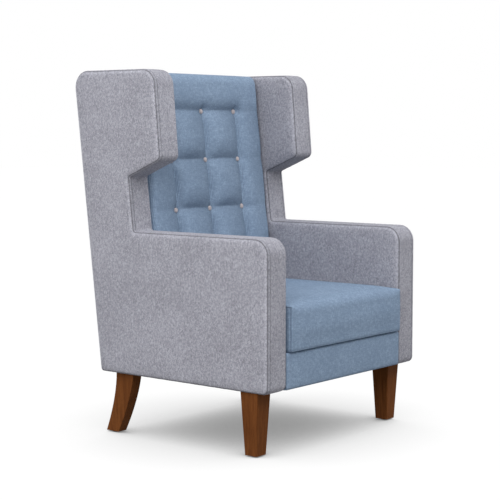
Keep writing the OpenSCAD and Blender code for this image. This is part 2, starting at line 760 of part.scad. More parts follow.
module back_bar(x0, x1, t0, t1, z0, z1) {
    across(x0, x1) polygon(raked(t0, t1, z0, z1));
}

module back_rail(z0) {
    x = inner_face - stile_w;
    back_bar(-x, x, t_frame, t_web, z0, z0 + back_rail_h);
}

module back_stiles() {
    color("burlywood") placed() both_sides() difference() {
        back_bar(inner_face - stile_w, inner_face, t_frame, t_web, rail_low, frame_top);
        bolt_holes(bolt_d / 2 + hole_gap, $fn = round_fn);
    }
}

module back_top_rail() { color("burlywood") placed() back_rail(frame_top - back_rail_h); }
module back_middle_rail() {
    color("burlywood") placed() back_rail(middle_rail_z - back_rail_h / 2);
}
module back_lower_rail() { color("burlywood") placed() back_rail(deck_z + cloth_t); }

// Every button in turn: its axis is square to the raked back, and starts where it meets depth t
module each_button(t) {
    for (x = col_x, z = row_z)
        translate([x, back_y(z) - pit_t, z]) rotate([90 - back_rake, 0, 0])
            translate([0, 0, (t - pit_t) * cos(back_rake)]) children();
}

twine_r = web_t * 0.6;
module twine_holes() {
    each_button(t_frame) cylinder(r = twine_r + hole_gap, h = t_cover, $fn = round_fn);
}

// Straps across the back lie flat on the stiles, one behind each row of buttons
module back_webbing_cross() {
    color("dimgray") placed() difference() {
        for (z = web_row_z)
            back_bar(-inner_face, inner_face, t_web, t_web + web_t, z - web_w / 2, z + web_w / 2);
        twine_holes();
    }
}

// Upright straps pass in front of and behind the cross straps in turn
web_x = [-col_pitch / 2, col_pitch / 2];
function upright_route(turn_first) =
    let (front = t_web + web_t * 1.6, rear = t_web - web_t * 0.6, flat = t_web + web_t / 2,
         reach = web_w * 0.52, low = deck_z + cloth_t, rail = back_rail_h / 2)
    concat(
        [[flat, low], [flat, low + back_rail_h]],
        [for (i = [0:button_rows - 1]) each concat(
            i == 2 ? [[flat, middle_rail_z - rail], [flat, middle_rail_z + rail]] : [],
            [for (s = [-1, 1])
                [(i + turn_first) % 2 == 0 ? front : rear, web_row_z[i] + s * reach]])],
        [[flat, frame_top - back_rail_h], [flat, frame_top]]);

module back_webbing_upright() {
    color("dimgray") placed() for (k = [0:len(web_x) - 1]) {
        route = upright_route(k);
        half = web_t / 2 * 0.96;
        across(web_x[k] - web_w / 2, web_x[k] + web_w / 2) polygon(concat(
            [for (p = route) [back_y(p.y) - p.x - half, p.y]],
            reversed([for (p = route) [back_y(p.y) - p.x + half, p.y]])));
    }
}

module back_foam() {
    color("lightyellow") placed() difference() {
        back_bar(-inner_face, inner_face, t_foam, t_cover, deck_z, back_pad_z);
        twine_holes();
    }
}

// Tufted face

pit_half = button_d * 0.75;
crease_w = col_pitch * 0.13;
edge_run = col_pitch * 0.27;
back_half = inner_face - soft_gap;
seat_top = deck_z + seat_h + seat_crown;

function bell(d) = exp(-pow(d / crease_w, 2));
function step(v) = let (s = max(0, min(1, v))) s * s * (3 - 2 * s);
// Rise from the side edges, and from behind the loose cushion
function edge_rise(x) = 1 - pow(1 - min(1, (back_half - abs(x)) / edge_run), 2);
function seat_rise(z) = step((z - seat_top + edge_run) / (2 * edge_run));
// Strength of the creases: full between the buttons, fading into the borders
function up_crease(x, z) =
    max([for (c = col_x) bell(x - c)]) * step(1 - (z - row_z[button_rows - 1]) / edge_run);
function cross_crease(x, z) =
    max([for (r = row_z) bell(z - r)]) * (1 - 0.75 * step((abs(x) - col_x[button_cols - 1]) / edge_run));
function in_pit(x, z) =
    min([for (c = col_x, r = row_z) max(abs(x - c), abs(z - r))]) <= pit_half * 1.01;
// Depth of the tufted face in front of the rear cloth
function face_t(x, z) = in_pit(x, z) ? pit_t :
    back_edge_t + pillow_h * edge_rise(x) * seat_rise(z)
        * (1 - crease_share * max(up_crease(x, z), cross_crease(x, z)));

// Columns and rows of the grid: at the flat of each pit, on the slope and on the pillow
slope = col_pitch * 0.2;
half_cols = concat(
    [for (c = col_x) if (c >= 0) each concat(
        c > 0 ? [c - slope, c - pit_half] : [], [c, c + pit_half, c + slope],
        c < col_x[button_cols - 1] ? [c + col_pitch / 2] : [])],
    [back_half - edge_run / 2, back_half - edge_run / 6, back_half]);
grid_x = concat([for (i = [len(half_cols) - 1:-1:1]) -half_cols[i]], half_cols);
low_rows = [deck_z, (deck_z + seat_top) / 2, seat_top - edge_run / 2, seat_top + edge_run / 4];
grid_z = concat(
    low_rows,
    [for (i = [0:button_rows - 1]) each concat(
        [row_z[i] - slope, row_z[i] - pit_half, row_z[i], row_z[i] + pit_half, row_z[i] + slope],
        i < button_rows - 1 ? [row_z[i] + row_pitch / 2] : [])],
    [row_z[button_rows - 1] + 2 * slope]);

// Profile over the top: a quarter round from the face, flat, then a round down to the rear
// that follows the corner of the side panels
round_angle = [0, 22.5, 45, 67.5, 90];
rear_angle = [90, 68, 48, 28, 10, -back_rake];
round_z = back_z - top_round_r;
rear_mid = a_top[0] + back_top_r * [-cos(back_rake), sin(back_rake)];
function top_fall(x) = top_drop * (1 - edge_rise(x));
// The cover widens with the crown of the panels, at a distance d from their outline,
// and stays clear of the facets of that crown
function widened(x, d) = x * (half_at(d + 5 * cloth_t) - soft_gap) / half_at(crown_run);
function top_point(x, a) =
    let (z = round_z + (back_z - top_fall(x) - round_z) * sin(a))
    [widened(x, back_z - z), back_y(z) - face_t(x, round_z) + top_round_r * (1 - cos(a)), z];
function rear_point(x, a) =
    let (fall = top_fall(x) * max(0, sin(a)), r = back_top_r - fall)
    [widened(x, fall), rear_mid.x + r * cos(a), rear_mid.y + r * sin(a)];
face_rows = concat(
    [for (z = grid_z) [for (x = grid_x) [x, back_y(z) - face_t(x, z), z]]],
    [for (a = round_angle) [for (x = grid_x) top_point(x, a)]],
    [for (a = rear_angle) [for (x = grid_x) rear_point(x, a)]]);
round_back_share = [0.5, 0.7, 0.85];
under_rows = concat(
    [for (z = grid_z) [t_cover, z]],
    [for (s = round_back_share) [t_cover, round_z + (back_pad_z - round_z) * s]],
    [[t_cover, back_pad_z], [t_cover * 0.9, back_pad_z],
     [t_web * 1.5, back_pad_z], [t_foam, back_pad_z], [t_foam, frame_top],
     [t_web / 2, frame_top], [t_frame, frame_top], [t_frame, a_top[0].y]]);

module back_cushion_cover() {
    color("lightsteelblue") placed() difference() {
        quilt(face_rows, [for (p = under_rows)
            [[-back_half, back_y(p.y) - p.x, p.y], [back_half, back_y(p.y) - p.x, p.y]]]);
        twine_holes_front();
    }
}

// The twine goes on through the cover to the flat of its pit
module twine_holes_front() {
    each_button(t_cover - overrun)
        cylinder(r = twine_r + hole_gap, h = pit_t - t_cover + 2 * overrun, $fn = round_fn);
}

// Covered button: a shallow dome over a straight rim, on its shank
module back_buttons() {
    rim = button_h * 0.3;
    dome = [for (i = [0:8]) let (a = 90 * i / 8)
        [button_d / 2 * cos(a), rim + (button_h - rim) * sin(a)]];
    color("thistle") placed() each_button(pit_t)
        rotate_extrude($fn = round_fn) polygon(concat([[0, 0], [button_d / 2 * 0.94, 0]], dome));
}

module button_twines() {
    reach = (pit_t - t_web) * cos(back_rake);
    color("ivory") placed() each_button(t_web) cylinder(r = twine_r, h = reach, $fn = round_fn);
}

module twine_toggles() {
    toggle_t = web_t * 2;
    color("whitesmoke") placed() each_button(t_web)
        translate([0, 0, -toggle_t]) cylinder(r = button_d * 0.55, h = toggle_t, $fn = round_fn);
}

module back_board() {
    x = half_at(t_frame);
    color("peru") placed() back_bar(-x, x, t_board, t_frame, rail_low, a_top[0].y);
}

module back_outer_cover() {
    x = half_at(t_board);
    color("darkgray") placed() back_bar(-x, x, 0, cloth_t, body_z, a_top[0].y);
}

// Legs

// Rounded square of half sizes u and v, as a ring of points at [x, y, z]
function leg_ring(c, u, v, z) =
    [for (p = rounded([[-u, -v], [u, -v], [u, v], [-u, v]], leg_edge_r, 3))
        [c.x + p.x, c.y + p.y, z]];

module leg_bores(foot_y, top_y) {
    translate([panel_mid, top_y, leg_bolt_low - hole_gap])
        cylinder(r = bolt_d / 2 + hole_gap, h = body_z, $fn = round_fn);
    translate([panel_mid, foot_y, glide_h - overrun])
        cylinder(r = nail_r + hole_gap, h = nail_l + overrun + hole_gap, $fn = round_fn);
}

module front_leg() {
    difference() {
        stacked([
            leg_ring([panel_mid, front_leg_y], front_leg_foot / 2, front_leg_foot / 2, glide_h),
            leg_ring([panel_mid, front_leg_y], front_leg_top / 2, front_leg_top / 2, body_z)]);
        leg_bores(front_leg_y, front_leg_y);
    }
}

// The rear leg sweeps backwards as its share of the way down to the power of rear_leg_curve
rear_leg_steps = 9;
module rear_leg() {
    difference() {
        stacked([for (i = [rear_leg_steps:-1:0])
            let (s = i / rear_leg_steps, z = body_z + (glide_h - body_z) * s,
                 w = rear_leg_w + (rear_leg_foot_w - rear_leg_w) * s,
                 d = rear_leg_top + (rear_leg_foot - rear_leg_top) * s)
            leg_ring([panel_mid, rear_leg_y + rear_leg_sweep * pow(s, rear_leg_curve)],
                     w / 2, d / 2, z)]);
        leg_bores(rear_leg_y + rear_leg_sweep, rear_leg_y);
    }
}

module front_leg_left() { color("saddlebrown") placed() front_leg(); }
module front_leg_right() { color("saddlebrown") placed() mirror([1, 0, 0]) front_leg(); }
module rear_leg_left() { color("saddlebrown") placed() rear_leg(); }
module rear_leg_right() { color("saddlebrown") placed() mirror([1, 0, 0]) rear_leg(); }

module leg_plates() {
    color("silver") placed() both_sides() for (y = leg_places) difference() {
        translate([panel_mid - plate_w / 2, y - plate_l / 2, frame_low])
            cube([plate_w, plate_l, plate_t]);
        translate([panel_mid, y, 0]) {
            translate([0, 0, frame_low - overrun])
                cylinder(r = bolt_d / 2 + hole_gap / 2, h = plate_t + 2 * overrun, $fn = round_fn);
            plate_screw(hole_gap / 2);
        }
    }
}

module leg_plate_screws() {
    color("silver") placed() both_sides()
        for (y = leg_places) translate([panel_mid, y, 0]) plate_screw(0);
}

module leg_bolts() {
    color("silver") placed() both_sides() for (y = leg_places)
        translate([panel_mid, y, leg_bolt_low])
            cylinder(r = bolt_d / 2, h = leg_bolt_top - leg_bolt_low, $fn = round_fn);
}

nail_r = glide_d * 0.05;
nail_l = glide_d * 0.5;
module leg_glides() {
    edge = glide_h * 0.35;
    color("black") placed() both_sides() for (y = [front_leg_y, rear_leg_y + rear_leg_sweep])
        translate([panel_mid, y, 0]) rotate_extrude($fn = round_fn) polygon([
            [0, 0], [glide_d / 2 - edge, 0], [glide_d / 2, edge], [glide_d / 2, glide_h],
            [nail_r, glide_h], [nail_r, glide_h + nail_l - nail_r], [0, glide_h + nail_l]]);
}

side_frame_right();
side_frame_left();
side_outer_foam_right();
side_outer_foam_left();
side_inner_foam_right();
side_inner_foam_left();
side_outer_panel_right();
side_outer_panel_left();
side_inner_panel_right();
side_inner_panel_left();
side_boxing_right();
side_boxing_left();
side_bolts();
side_tee_nuts();
seat_front_rail();
seat_rear_rail();
seat_side_rails();
seat_corner_blocks();
seat_springs();
spring_clips();
deck_pad();
deck_cover();
apron_pad();
apron_cover();
dust_cover();
seat_cushion_cover();
seat_cushion_foam();
seat_cushion_zip();
back_stiles();
back_top_rail();
back_middle_rail();
back_lower_rail();
back_webbing_cross();
back_webbing_upright();
back_foam();
back_cushion_cover();
back_buttons();
button_twines();
twine_toggles();
back_board();
back_outer_cover();
front_leg_right();
front_leg_left();
rear_leg_right();
rear_leg_left();
leg_plates();
leg_plate_screws();
leg_bolts();
leg_glides();
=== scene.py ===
"""Looks of a high-backed lounge chair: its covers, padding, stitching and finishes.

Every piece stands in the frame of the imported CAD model, in metres: X runs across the chair towards
the sitter's left, -Y is the way the chair faces, and Z is up.
"""

import logging
import math
from collections.abc import Callable
from dataclasses import dataclass, field
from enum import Enum, IntEnum
from typing import ClassVar

import bpy
import numpy as np
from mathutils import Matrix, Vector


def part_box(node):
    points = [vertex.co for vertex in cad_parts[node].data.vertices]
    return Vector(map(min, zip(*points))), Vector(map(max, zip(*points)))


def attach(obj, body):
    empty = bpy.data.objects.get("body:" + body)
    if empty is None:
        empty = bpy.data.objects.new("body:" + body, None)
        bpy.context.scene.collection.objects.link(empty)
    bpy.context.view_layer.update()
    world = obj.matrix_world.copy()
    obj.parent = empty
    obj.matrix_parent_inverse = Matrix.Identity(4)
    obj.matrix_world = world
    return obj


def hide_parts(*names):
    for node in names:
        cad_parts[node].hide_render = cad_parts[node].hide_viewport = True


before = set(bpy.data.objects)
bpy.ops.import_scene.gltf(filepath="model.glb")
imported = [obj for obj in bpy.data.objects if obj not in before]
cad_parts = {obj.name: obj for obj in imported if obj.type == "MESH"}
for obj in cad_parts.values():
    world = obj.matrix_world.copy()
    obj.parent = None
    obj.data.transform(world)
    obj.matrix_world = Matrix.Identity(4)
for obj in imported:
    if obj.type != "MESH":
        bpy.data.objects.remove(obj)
LOG = logging.getLogger("lounge_chair")

Array = np.ndarray
Colour = tuple[float, float, float]
Socket = bpy.types.NodeSocket


class Side(Enum):
    """The two mirrored sides of the chair, with the sign of their X."""

    RIGHT = -1
    LEFT = 1

    @property
    def word(self) -> str:
        """The side's name as the CAD nodes use it."""
        return self.name.lower()


class Body(Enum):
    """The bodies of the CAD model that pieces ride on."""

    CHAIR = "chair"
    CUSHION = "seat_cushion"


# Mesh helpers


@dataclass
class Patch:
    """Quads over shared vertices, with a texture place for each corner of each quad."""

    quads: Array
    uv: Array


def grid_patch(index: Array, u: Array, v: Array, flip: bool = False) -> Patch:
    """Joins a grid of vertex numbers into quads.

    Args:
        index: Vertex numbers, rows by columns. A closed direction repeats its first line.
        u: Texture place across, of the same shape.
        v: Texture place along, of the same shape.
        flip: Turns the faces round.

    Returns:
        The patch of quads.
    """
    order = [(0, 0), (1, 0), (1, 1), (0, 1)]
    if flip:
        order.reverse()
    rows, cols = index.shape

    def cut(a: Array, i: int, j: int) -> Array:
        """The grid without its last line each way, moved on by i rows and j columns."""
        return a[i : rows - 1 + i, j : cols - 1 + j].ravel()

    quads = np.stack([cut(index, i, j) for i, j in order], axis=1)
    uv = np.stack([np.stack([cut(u, i, j), cut(v, i, j)], axis=1) for i, j in order], axis=1)
    return Patch(quads, uv)


def make_object(
    name: str, points: Array, patches: list[Patch], marks: dict[str, Array] | None = None
) -> bpy.types.Object:
    """Puts vertices and quads into a new object at the origin.

    A quad with two corners in one vertex, as at a pole, becomes a triangle.

    Args:
        name: Name of the piece.
        points: Vertices as an n by 3 array, in metres.
        patches: The quads, with their texture places.
        marks: One value per vertex, by attribute name.

    Returns:
        The object, shaded smooth.
    """
    quads = np.concatenate([p.quads for p in patches])
    uv = np.concatenate([p.uv for p in patches])
    same = quads == np.roll(quads, -1, axis=1)
    keep = ~same & (same.sum(axis=1) < 2)[:, None]
    corners, uv = quads[keep], uv[keep]
    counts = keep.sum(axis=1)
    counts = counts[counts > 0]
    mesh = bpy.data.meshes.new(name)
    mesh.vertices.add(len(points))
    mesh.vertices.foreach_set("co", np.ascontiguousarray(points, np.float32).ravel())
    mesh.loops.add(len(corners))
    mesh.loops.foreach_set("vertex_index", corners.astype(np.int32))
    mesh.polygons.add(len(counts))
    mesh.polygons.foreach_set("loop_start", (np.cumsum(counts) - counts).astype(np.int32))
    mesh.polygons.foreach_set("use_smooth", np.ones(len(counts), bool))
    layer = mesh.uv_layers.new(name="UVMap")
    layer.data.foreach_set("uv", uv.astype(np.float32).ravel())
    mesh.update()
    mesh.validate()
    obj = bpy.data.objects.new(name, mesh)
    bpy.context.scene.collection.objects.link(obj)
    for key, values in (marks or {}).items():
        mark_vertices(obj, key, values)
    return obj


def read_vectors(obj: bpy.types.Object, key: str) -> Array:
    """Reads one vector per vertex.

    Args:
        obj: The piece.
        key: What is read: "co" for the places, "normal" for the normals.

    Returns:
        An n by 3 array.
    """
    out = np.zeros(len(obj.data.vertices) * 3, np.float32)
    obj.data.vertices.foreach_get(key, out)
    return out.reshape(-1, 3).astype(float)


def read_points(obj: bpy.types.Object) -> Array:
    """The vertices of an object as an n by 3 array."""
    return read_vectors(obj, "co")


def write_points(obj: bpy.types.Object, points: Array) -> None:
    """Moves the vertices of an object to the given places."""
    obj.data.vertices.foreach_set("co", np.ascontiguousarray(points, np.float32).ravel())
    obj.data.update()


def read_normals(obj: bpy.types.Object) -> Array:
    """The vertex normals of an object as an n by 3 array."""
    return read_vectors(obj, "normal")


def mark_vertices(obj: bpy.types.Object, key: str, values: Array) -> None:
    """Writes one value per vertex into the attribute of that name."""
    attribute = obj.data.attributes.get(key) or obj.data.attributes.new(key, "FLOAT", "POINT")
    attribute.data.foreach_set("value", values.astype(np.float32))


def project_uv(obj: bpy.types.Object) -> None:
    """Gives each face the two coordinates that it faces least, so that a weave runs true on it.

    Args:
        obj: The piece, whose texture places are written.
    """
    mesh = obj.data
    layer = mesh.uv_layers.get("UVMap") or mesh.uv_layers.new(name="UVMap")
    loops = np.zeros(len(mesh.loops), np.int32)
    mesh.loops.foreach_get("vertex_index", loops)
    counts = np.zeros(len(mesh.polygons), np.int32)
    mesh.polygons.foreach_get("loop_total", counts)
    normals = np.zeros(len(mesh.polygons) * 3, np.float32)
    mesh.polygons.foreach_get("normal", normals)
    axis = np.repeat(np.abs(normals.reshape(-1, 3)).argmax(axis=1), counts)
    co = read_points(obj)[loops]
    u = np.where(axis == 0, co[:, 1], co[:, 0])
    v = np.where(axis == 2, co[:, 1], co[:, 2])
    layer.data.foreach_set("uv", np.stack([u, v], axis=1).astype(np.float32).ravel())


def smoothstep(x: Array) -> Array:
    """Soft step from 0 to 1 as x goes from 0 to 1: three x squared less two x cubed."""
    x = np.clip(x, 0.0, 1.0)
    return x * x * (3.0 - 2.0 * x)


def bell(x: Array, width: float) -> Array:
    """Gauss bell of height 1: e to the minus square of x over width."""
    return np.exp(-((x / width) ** 2))


def ripple(p: Array, wave: float, seed: int) -> Array:
    """Soft unevenness between about -1 and 1: a sum of sines in chosen directions.

    Args:
        p: Places, n by 3, in metres.
        wave: Mean wavelength in metres.
        seed: Chooses the directions and phases.

    Returns:
        One value per place.
    """
    rng = np.random.default_rng(seed)
    out = np.zeros(len(p))
    sines = 7
    for _ in range(sines):
        way = rng.normal(size=3)
        way /= np.linalg.norm(way)
        k = 2 * math.pi / (wave * rng.uniform(0.7, 1.5))
        out += np.sin(p @ way * k + rng.uniform(0, 2 * math.pi))
    return out / math.sqrt(sines)


def between_sides(low: Array, high: Array, start: Array, end: Array) -> Array:
    """Grid between four lines, by transfinite interpolation.

    It is the sum of the two ruled surfaces less the bilinear one through the corners.

    Args:
        low: First long side.
        high: Second long side, in the same direction.
        start: Short side from the start of low to the start of high.
        end: Short side between their ends.

    Returns:
        Places, rows by columns by coordinates.
    """
    s = np.linspace(0, 1, len(low))[:, None, None]
    t = np.linspace(0, 1, len(start))[None, :, None]
    return (
        (1 - t) * low[:, None] + t * high[:, None]
        + (1 - s) * start[None] + s * end[None]
        - (1 - s) * ((1 - t) * low[0] + t * high[0])
        - s * ((1 - t) * low[-1] + t * high[-1])
    )


# Sizes that the pieces share with the CAD source


@dataclass(frozen=True)
class ChairPlan:
    """Sizes of the chair, in metres, as the CAD source has them.

    The depths are measured from the arm fronts, which stand y_mid in front of the origin. seam_x is
    the place of the outer seam, and sag is how far the covers hang under the front of the arm.
    """

    seam_x: float = 0.3825
    panel_t: float = 0.084
    inner_crown: float = 0.008
    outer_crown: float = 0.006
    body_z: float = 0.197
    arm_z: float = 0.633
    back_z: float = 1.121
    base_depth: float = 0.655
    rake: float = math.radians(6.67)
    column_depth: float = 0.191
    notch_h: float = 0.168
    wing_low_depth: float = 0.326
    wing_top_depth: float = 0.334
    wing_rise: float = 0.054
    arm_nose_r: float = 0.048
    wing_nose_r: float = 0.048
    wing_low_r: float = 0.020
    notch_r: float = 0.010
    sag: float = 0.0036
    base_r: float = 0.018
    heel_r: float = 0.008
    back_top_r: float = 0.048
    y_mid: float = 0.370894
    deck_z: float = 0.303

    @property
    def seam_in(self) -> float:
        """Distance of the inner seam from the middle of the chair."""
        return self.seam_x - self.panel_t

    def back_y(self, z: Array | float) -> Array | float:
        """Rear line of the side panel: the base depth plus the rake times the height."""
        return self.base_depth + math.tan(self.rake) * (z - self.body_z) - self.y_mid

    def corners(self) -> list[tuple[float, float, float]]:
        """Corners of the side panel's outline.

        Returns:
            Their y, z and radius, from the front foot backwards.
        """
        notch_z = self.arm_z + self.notch_h
        low_z = notch_z + self.wing_rise
        front = -self.y_mid
        foot_y, top_y, low_y, notch_y, arm_y = (
            float(self.back_y(z)) for z in (self.body_z, self.back_z, low_z, notch_z, self.arm_z))
        return [
            (front, self.body_z - self.sag, self.base_r),
            (foot_y, self.body_z, self.heel_r),
            (top_y, self.back_z, self.back_top_r),
            (top_y - self.wing_top_depth, self.back_z, self.wing_nose_r),
            (low_y - self.wing_low_depth, low_z, self.wing_low_r),
            (notch_y - self.column_depth, notch_z, self.notch_r),
            (arm_y - self.column_depth, self.arm_z, self.notch_r),
            (front, self.arm_z, self.arm_nose_r),
        ]


PLAN = ChairPlan()


@dataclass
class Outline:
    """A closed outline in y and z, sampled closely, with its outward normals and its run."""

    points: Array
    normals: Array
    run: Array
    ARC_POINTS: ClassVar[int] = 41
    LINE_POINTS: ClassVar[int] = 200
    ARC_WEIGHT: ClassVar[float] = 2.4
    LEVELS: ClassVar[tuple[float, float]] = (0.790, 0.870)

    @classmethod
    def rounded(cls, corners: Array) -> tuple[Array, Array, Array]:
        """Joins straight lines by arcs of a circle.

        The centre of an arc lies on the line that halves its corner, the radius over the sine of
        half the angle away from it.

        Args:
            corners: Rows of y, z and radius.

        Returns:
            Points, outward normals, and the weight of each step in the sampling.
        """
        p, r = corners[:, :2], corners[:, 2]
        back = np.roll(p, 1, axis=0) - p
        ahead = np.roll(p, -1, axis=0) - p
        back /= np.linalg.norm(back, axis=1, keepdims=True)
        ahead /= np.linalg.norm(ahead, axis=1, keepdims=True)
        half = np.arccos((back * ahead).sum(axis=1)) / 2
        middle = back + ahead
        middle /= np.linalg.norm(middle, axis=1, keepdims=True)
        centre = p + middle * (r / np.sin(half))[:, None]
        reach = (r / np.tan(half))[:, None]
        start, end = p + back * reach, p + ahead * reach
        first, last = start - centre, end - centre
        a0 = np.arctan2(first[:, 1], first[:, 0])
        sweep = (np.arctan2(last[:, 1], last[:, 0]) - a0 + math.pi) % (2 * math.pi) - math.pi
        angle = a0[:, None] + sweep[:, None] * np.linspace(0, 1, cls.ARC_POINTS)
        ray = np.stack([np.cos(angle), np.sin(angle)], axis=-1)
        arc = centre[:, None] + ray * r[:, None, None]
        arc_n = ray * np.sign(sweep)[:, None, None]
        steps = np.linspace(0, 1, cls.LINE_POINTS + 2)[1:-1, None]
        line = end[:, None] + (np.roll(start, -1, axis=0) - end)[:, None] * steps
        line_n = np.repeat(arc_n[:, -1:], cls.LINE_POINTS, axis=1)
        points = np.concatenate([arc, line], axis=1).reshape(-1, 2)
        normals = np.concatenate([arc_n, line_n], axis=1).reshape(-1, 2)
        weight = np.concatenate([np.full(cls.ARC_POINTS, cls.ARC_WEIGHT), np.ones(cls.LINE_POINTS)])
        return points, normals, np.tile(weight, len(p))

    @classmethod
    def of_panel(cls, spans: tuple[int, ...]) -> "Outline":
        """Samples the side panel's outline, with the samples closer together on the arcs.

        Four stretches of the rear chain (underside, low back, middle, wing) have as many samples as
        the opposite stretches of the front chain.

        Args:
            spans: Samples on each of those stretches, and last on the top and on the arm's front.

        Returns:
            The outline, starting at the middle of the front foot's corner.
        """
        shift = cls.ARC_POINTS // 2
        points, normals, weight = (
            np.roll(a, -shift, axis=0) for a in cls.rounded(np.array(PLAN.corners())))
        per = cls.ARC_POINTS + cls.LINE_POINTS
        place = list(range(0, len(points) + 1, per))
        points = np.vstack([points, points[:1]])
        normals = np.vstack([normals, normals[:1]])
        step = np.linalg.norm(np.diff(points, axis=0), axis=1)
        run = np.concatenate([[0], np.cumsum(step)])
        measure = np.concatenate([[0], np.cumsum(step * weight)])
        heights = points[place[1] : place[2], 1]
        level = [place[1] + int(np.argmin(np.abs(heights - z))) for z in cls.LEVELS]
        marks = [*place[:2], *level, *place[2:]]
        chain, end = spans[:4], spans[4]
        counts = [*chain, end, *chain[::-1], end]
        out = np.concatenate([np.linspace(measure[a], measure[b], count + 1)[:-1]
                              for a, b, count in zip(marks, marks[1:], counts)])
        pts = np.stack([np.interp(out, measure, points[:, a]) for a in range(2)], axis=1)
        nor = np.stack([np.interp(out, measure, normals[:, a]) for a in range(2)], axis=1)
        nor /= np.linalg.norm(nor, axis=1, keepdims=True)
        return cls(pts, nor, np.interp(out, measure, run))

    @property
    def length(self) -> float:
        """Length round the outline."""
        loop = np.vstack([self.points, self.points[:1]])
        return float(np.linalg.norm(np.diff(loop, axis=0), axis=1).sum())

    def distance(self, q: Array) -> Array:
        """Distance from places inside to the outline.

        Args:
            q: Places, n by 2, worked through in lots to save memory.

        Returns:
            One distance per place.
        """
        a = self.points
        ab = np.roll(a, -1, axis=0) - a
        size = (ab * ab).sum(-1)
        best = np.zeros(len(q))
        lot = 2000
        for k in range(0, len(q), lot):
            rel = q[k : k + lot, None, :] - a[None]
            t = np.clip((rel * ab).sum(-1) / size, 0, 1)
            best[k : k + lot] = np.linalg.norm(rel - t[..., None] * ab, axis=-1).min(axis=1)
        return best


# Materials


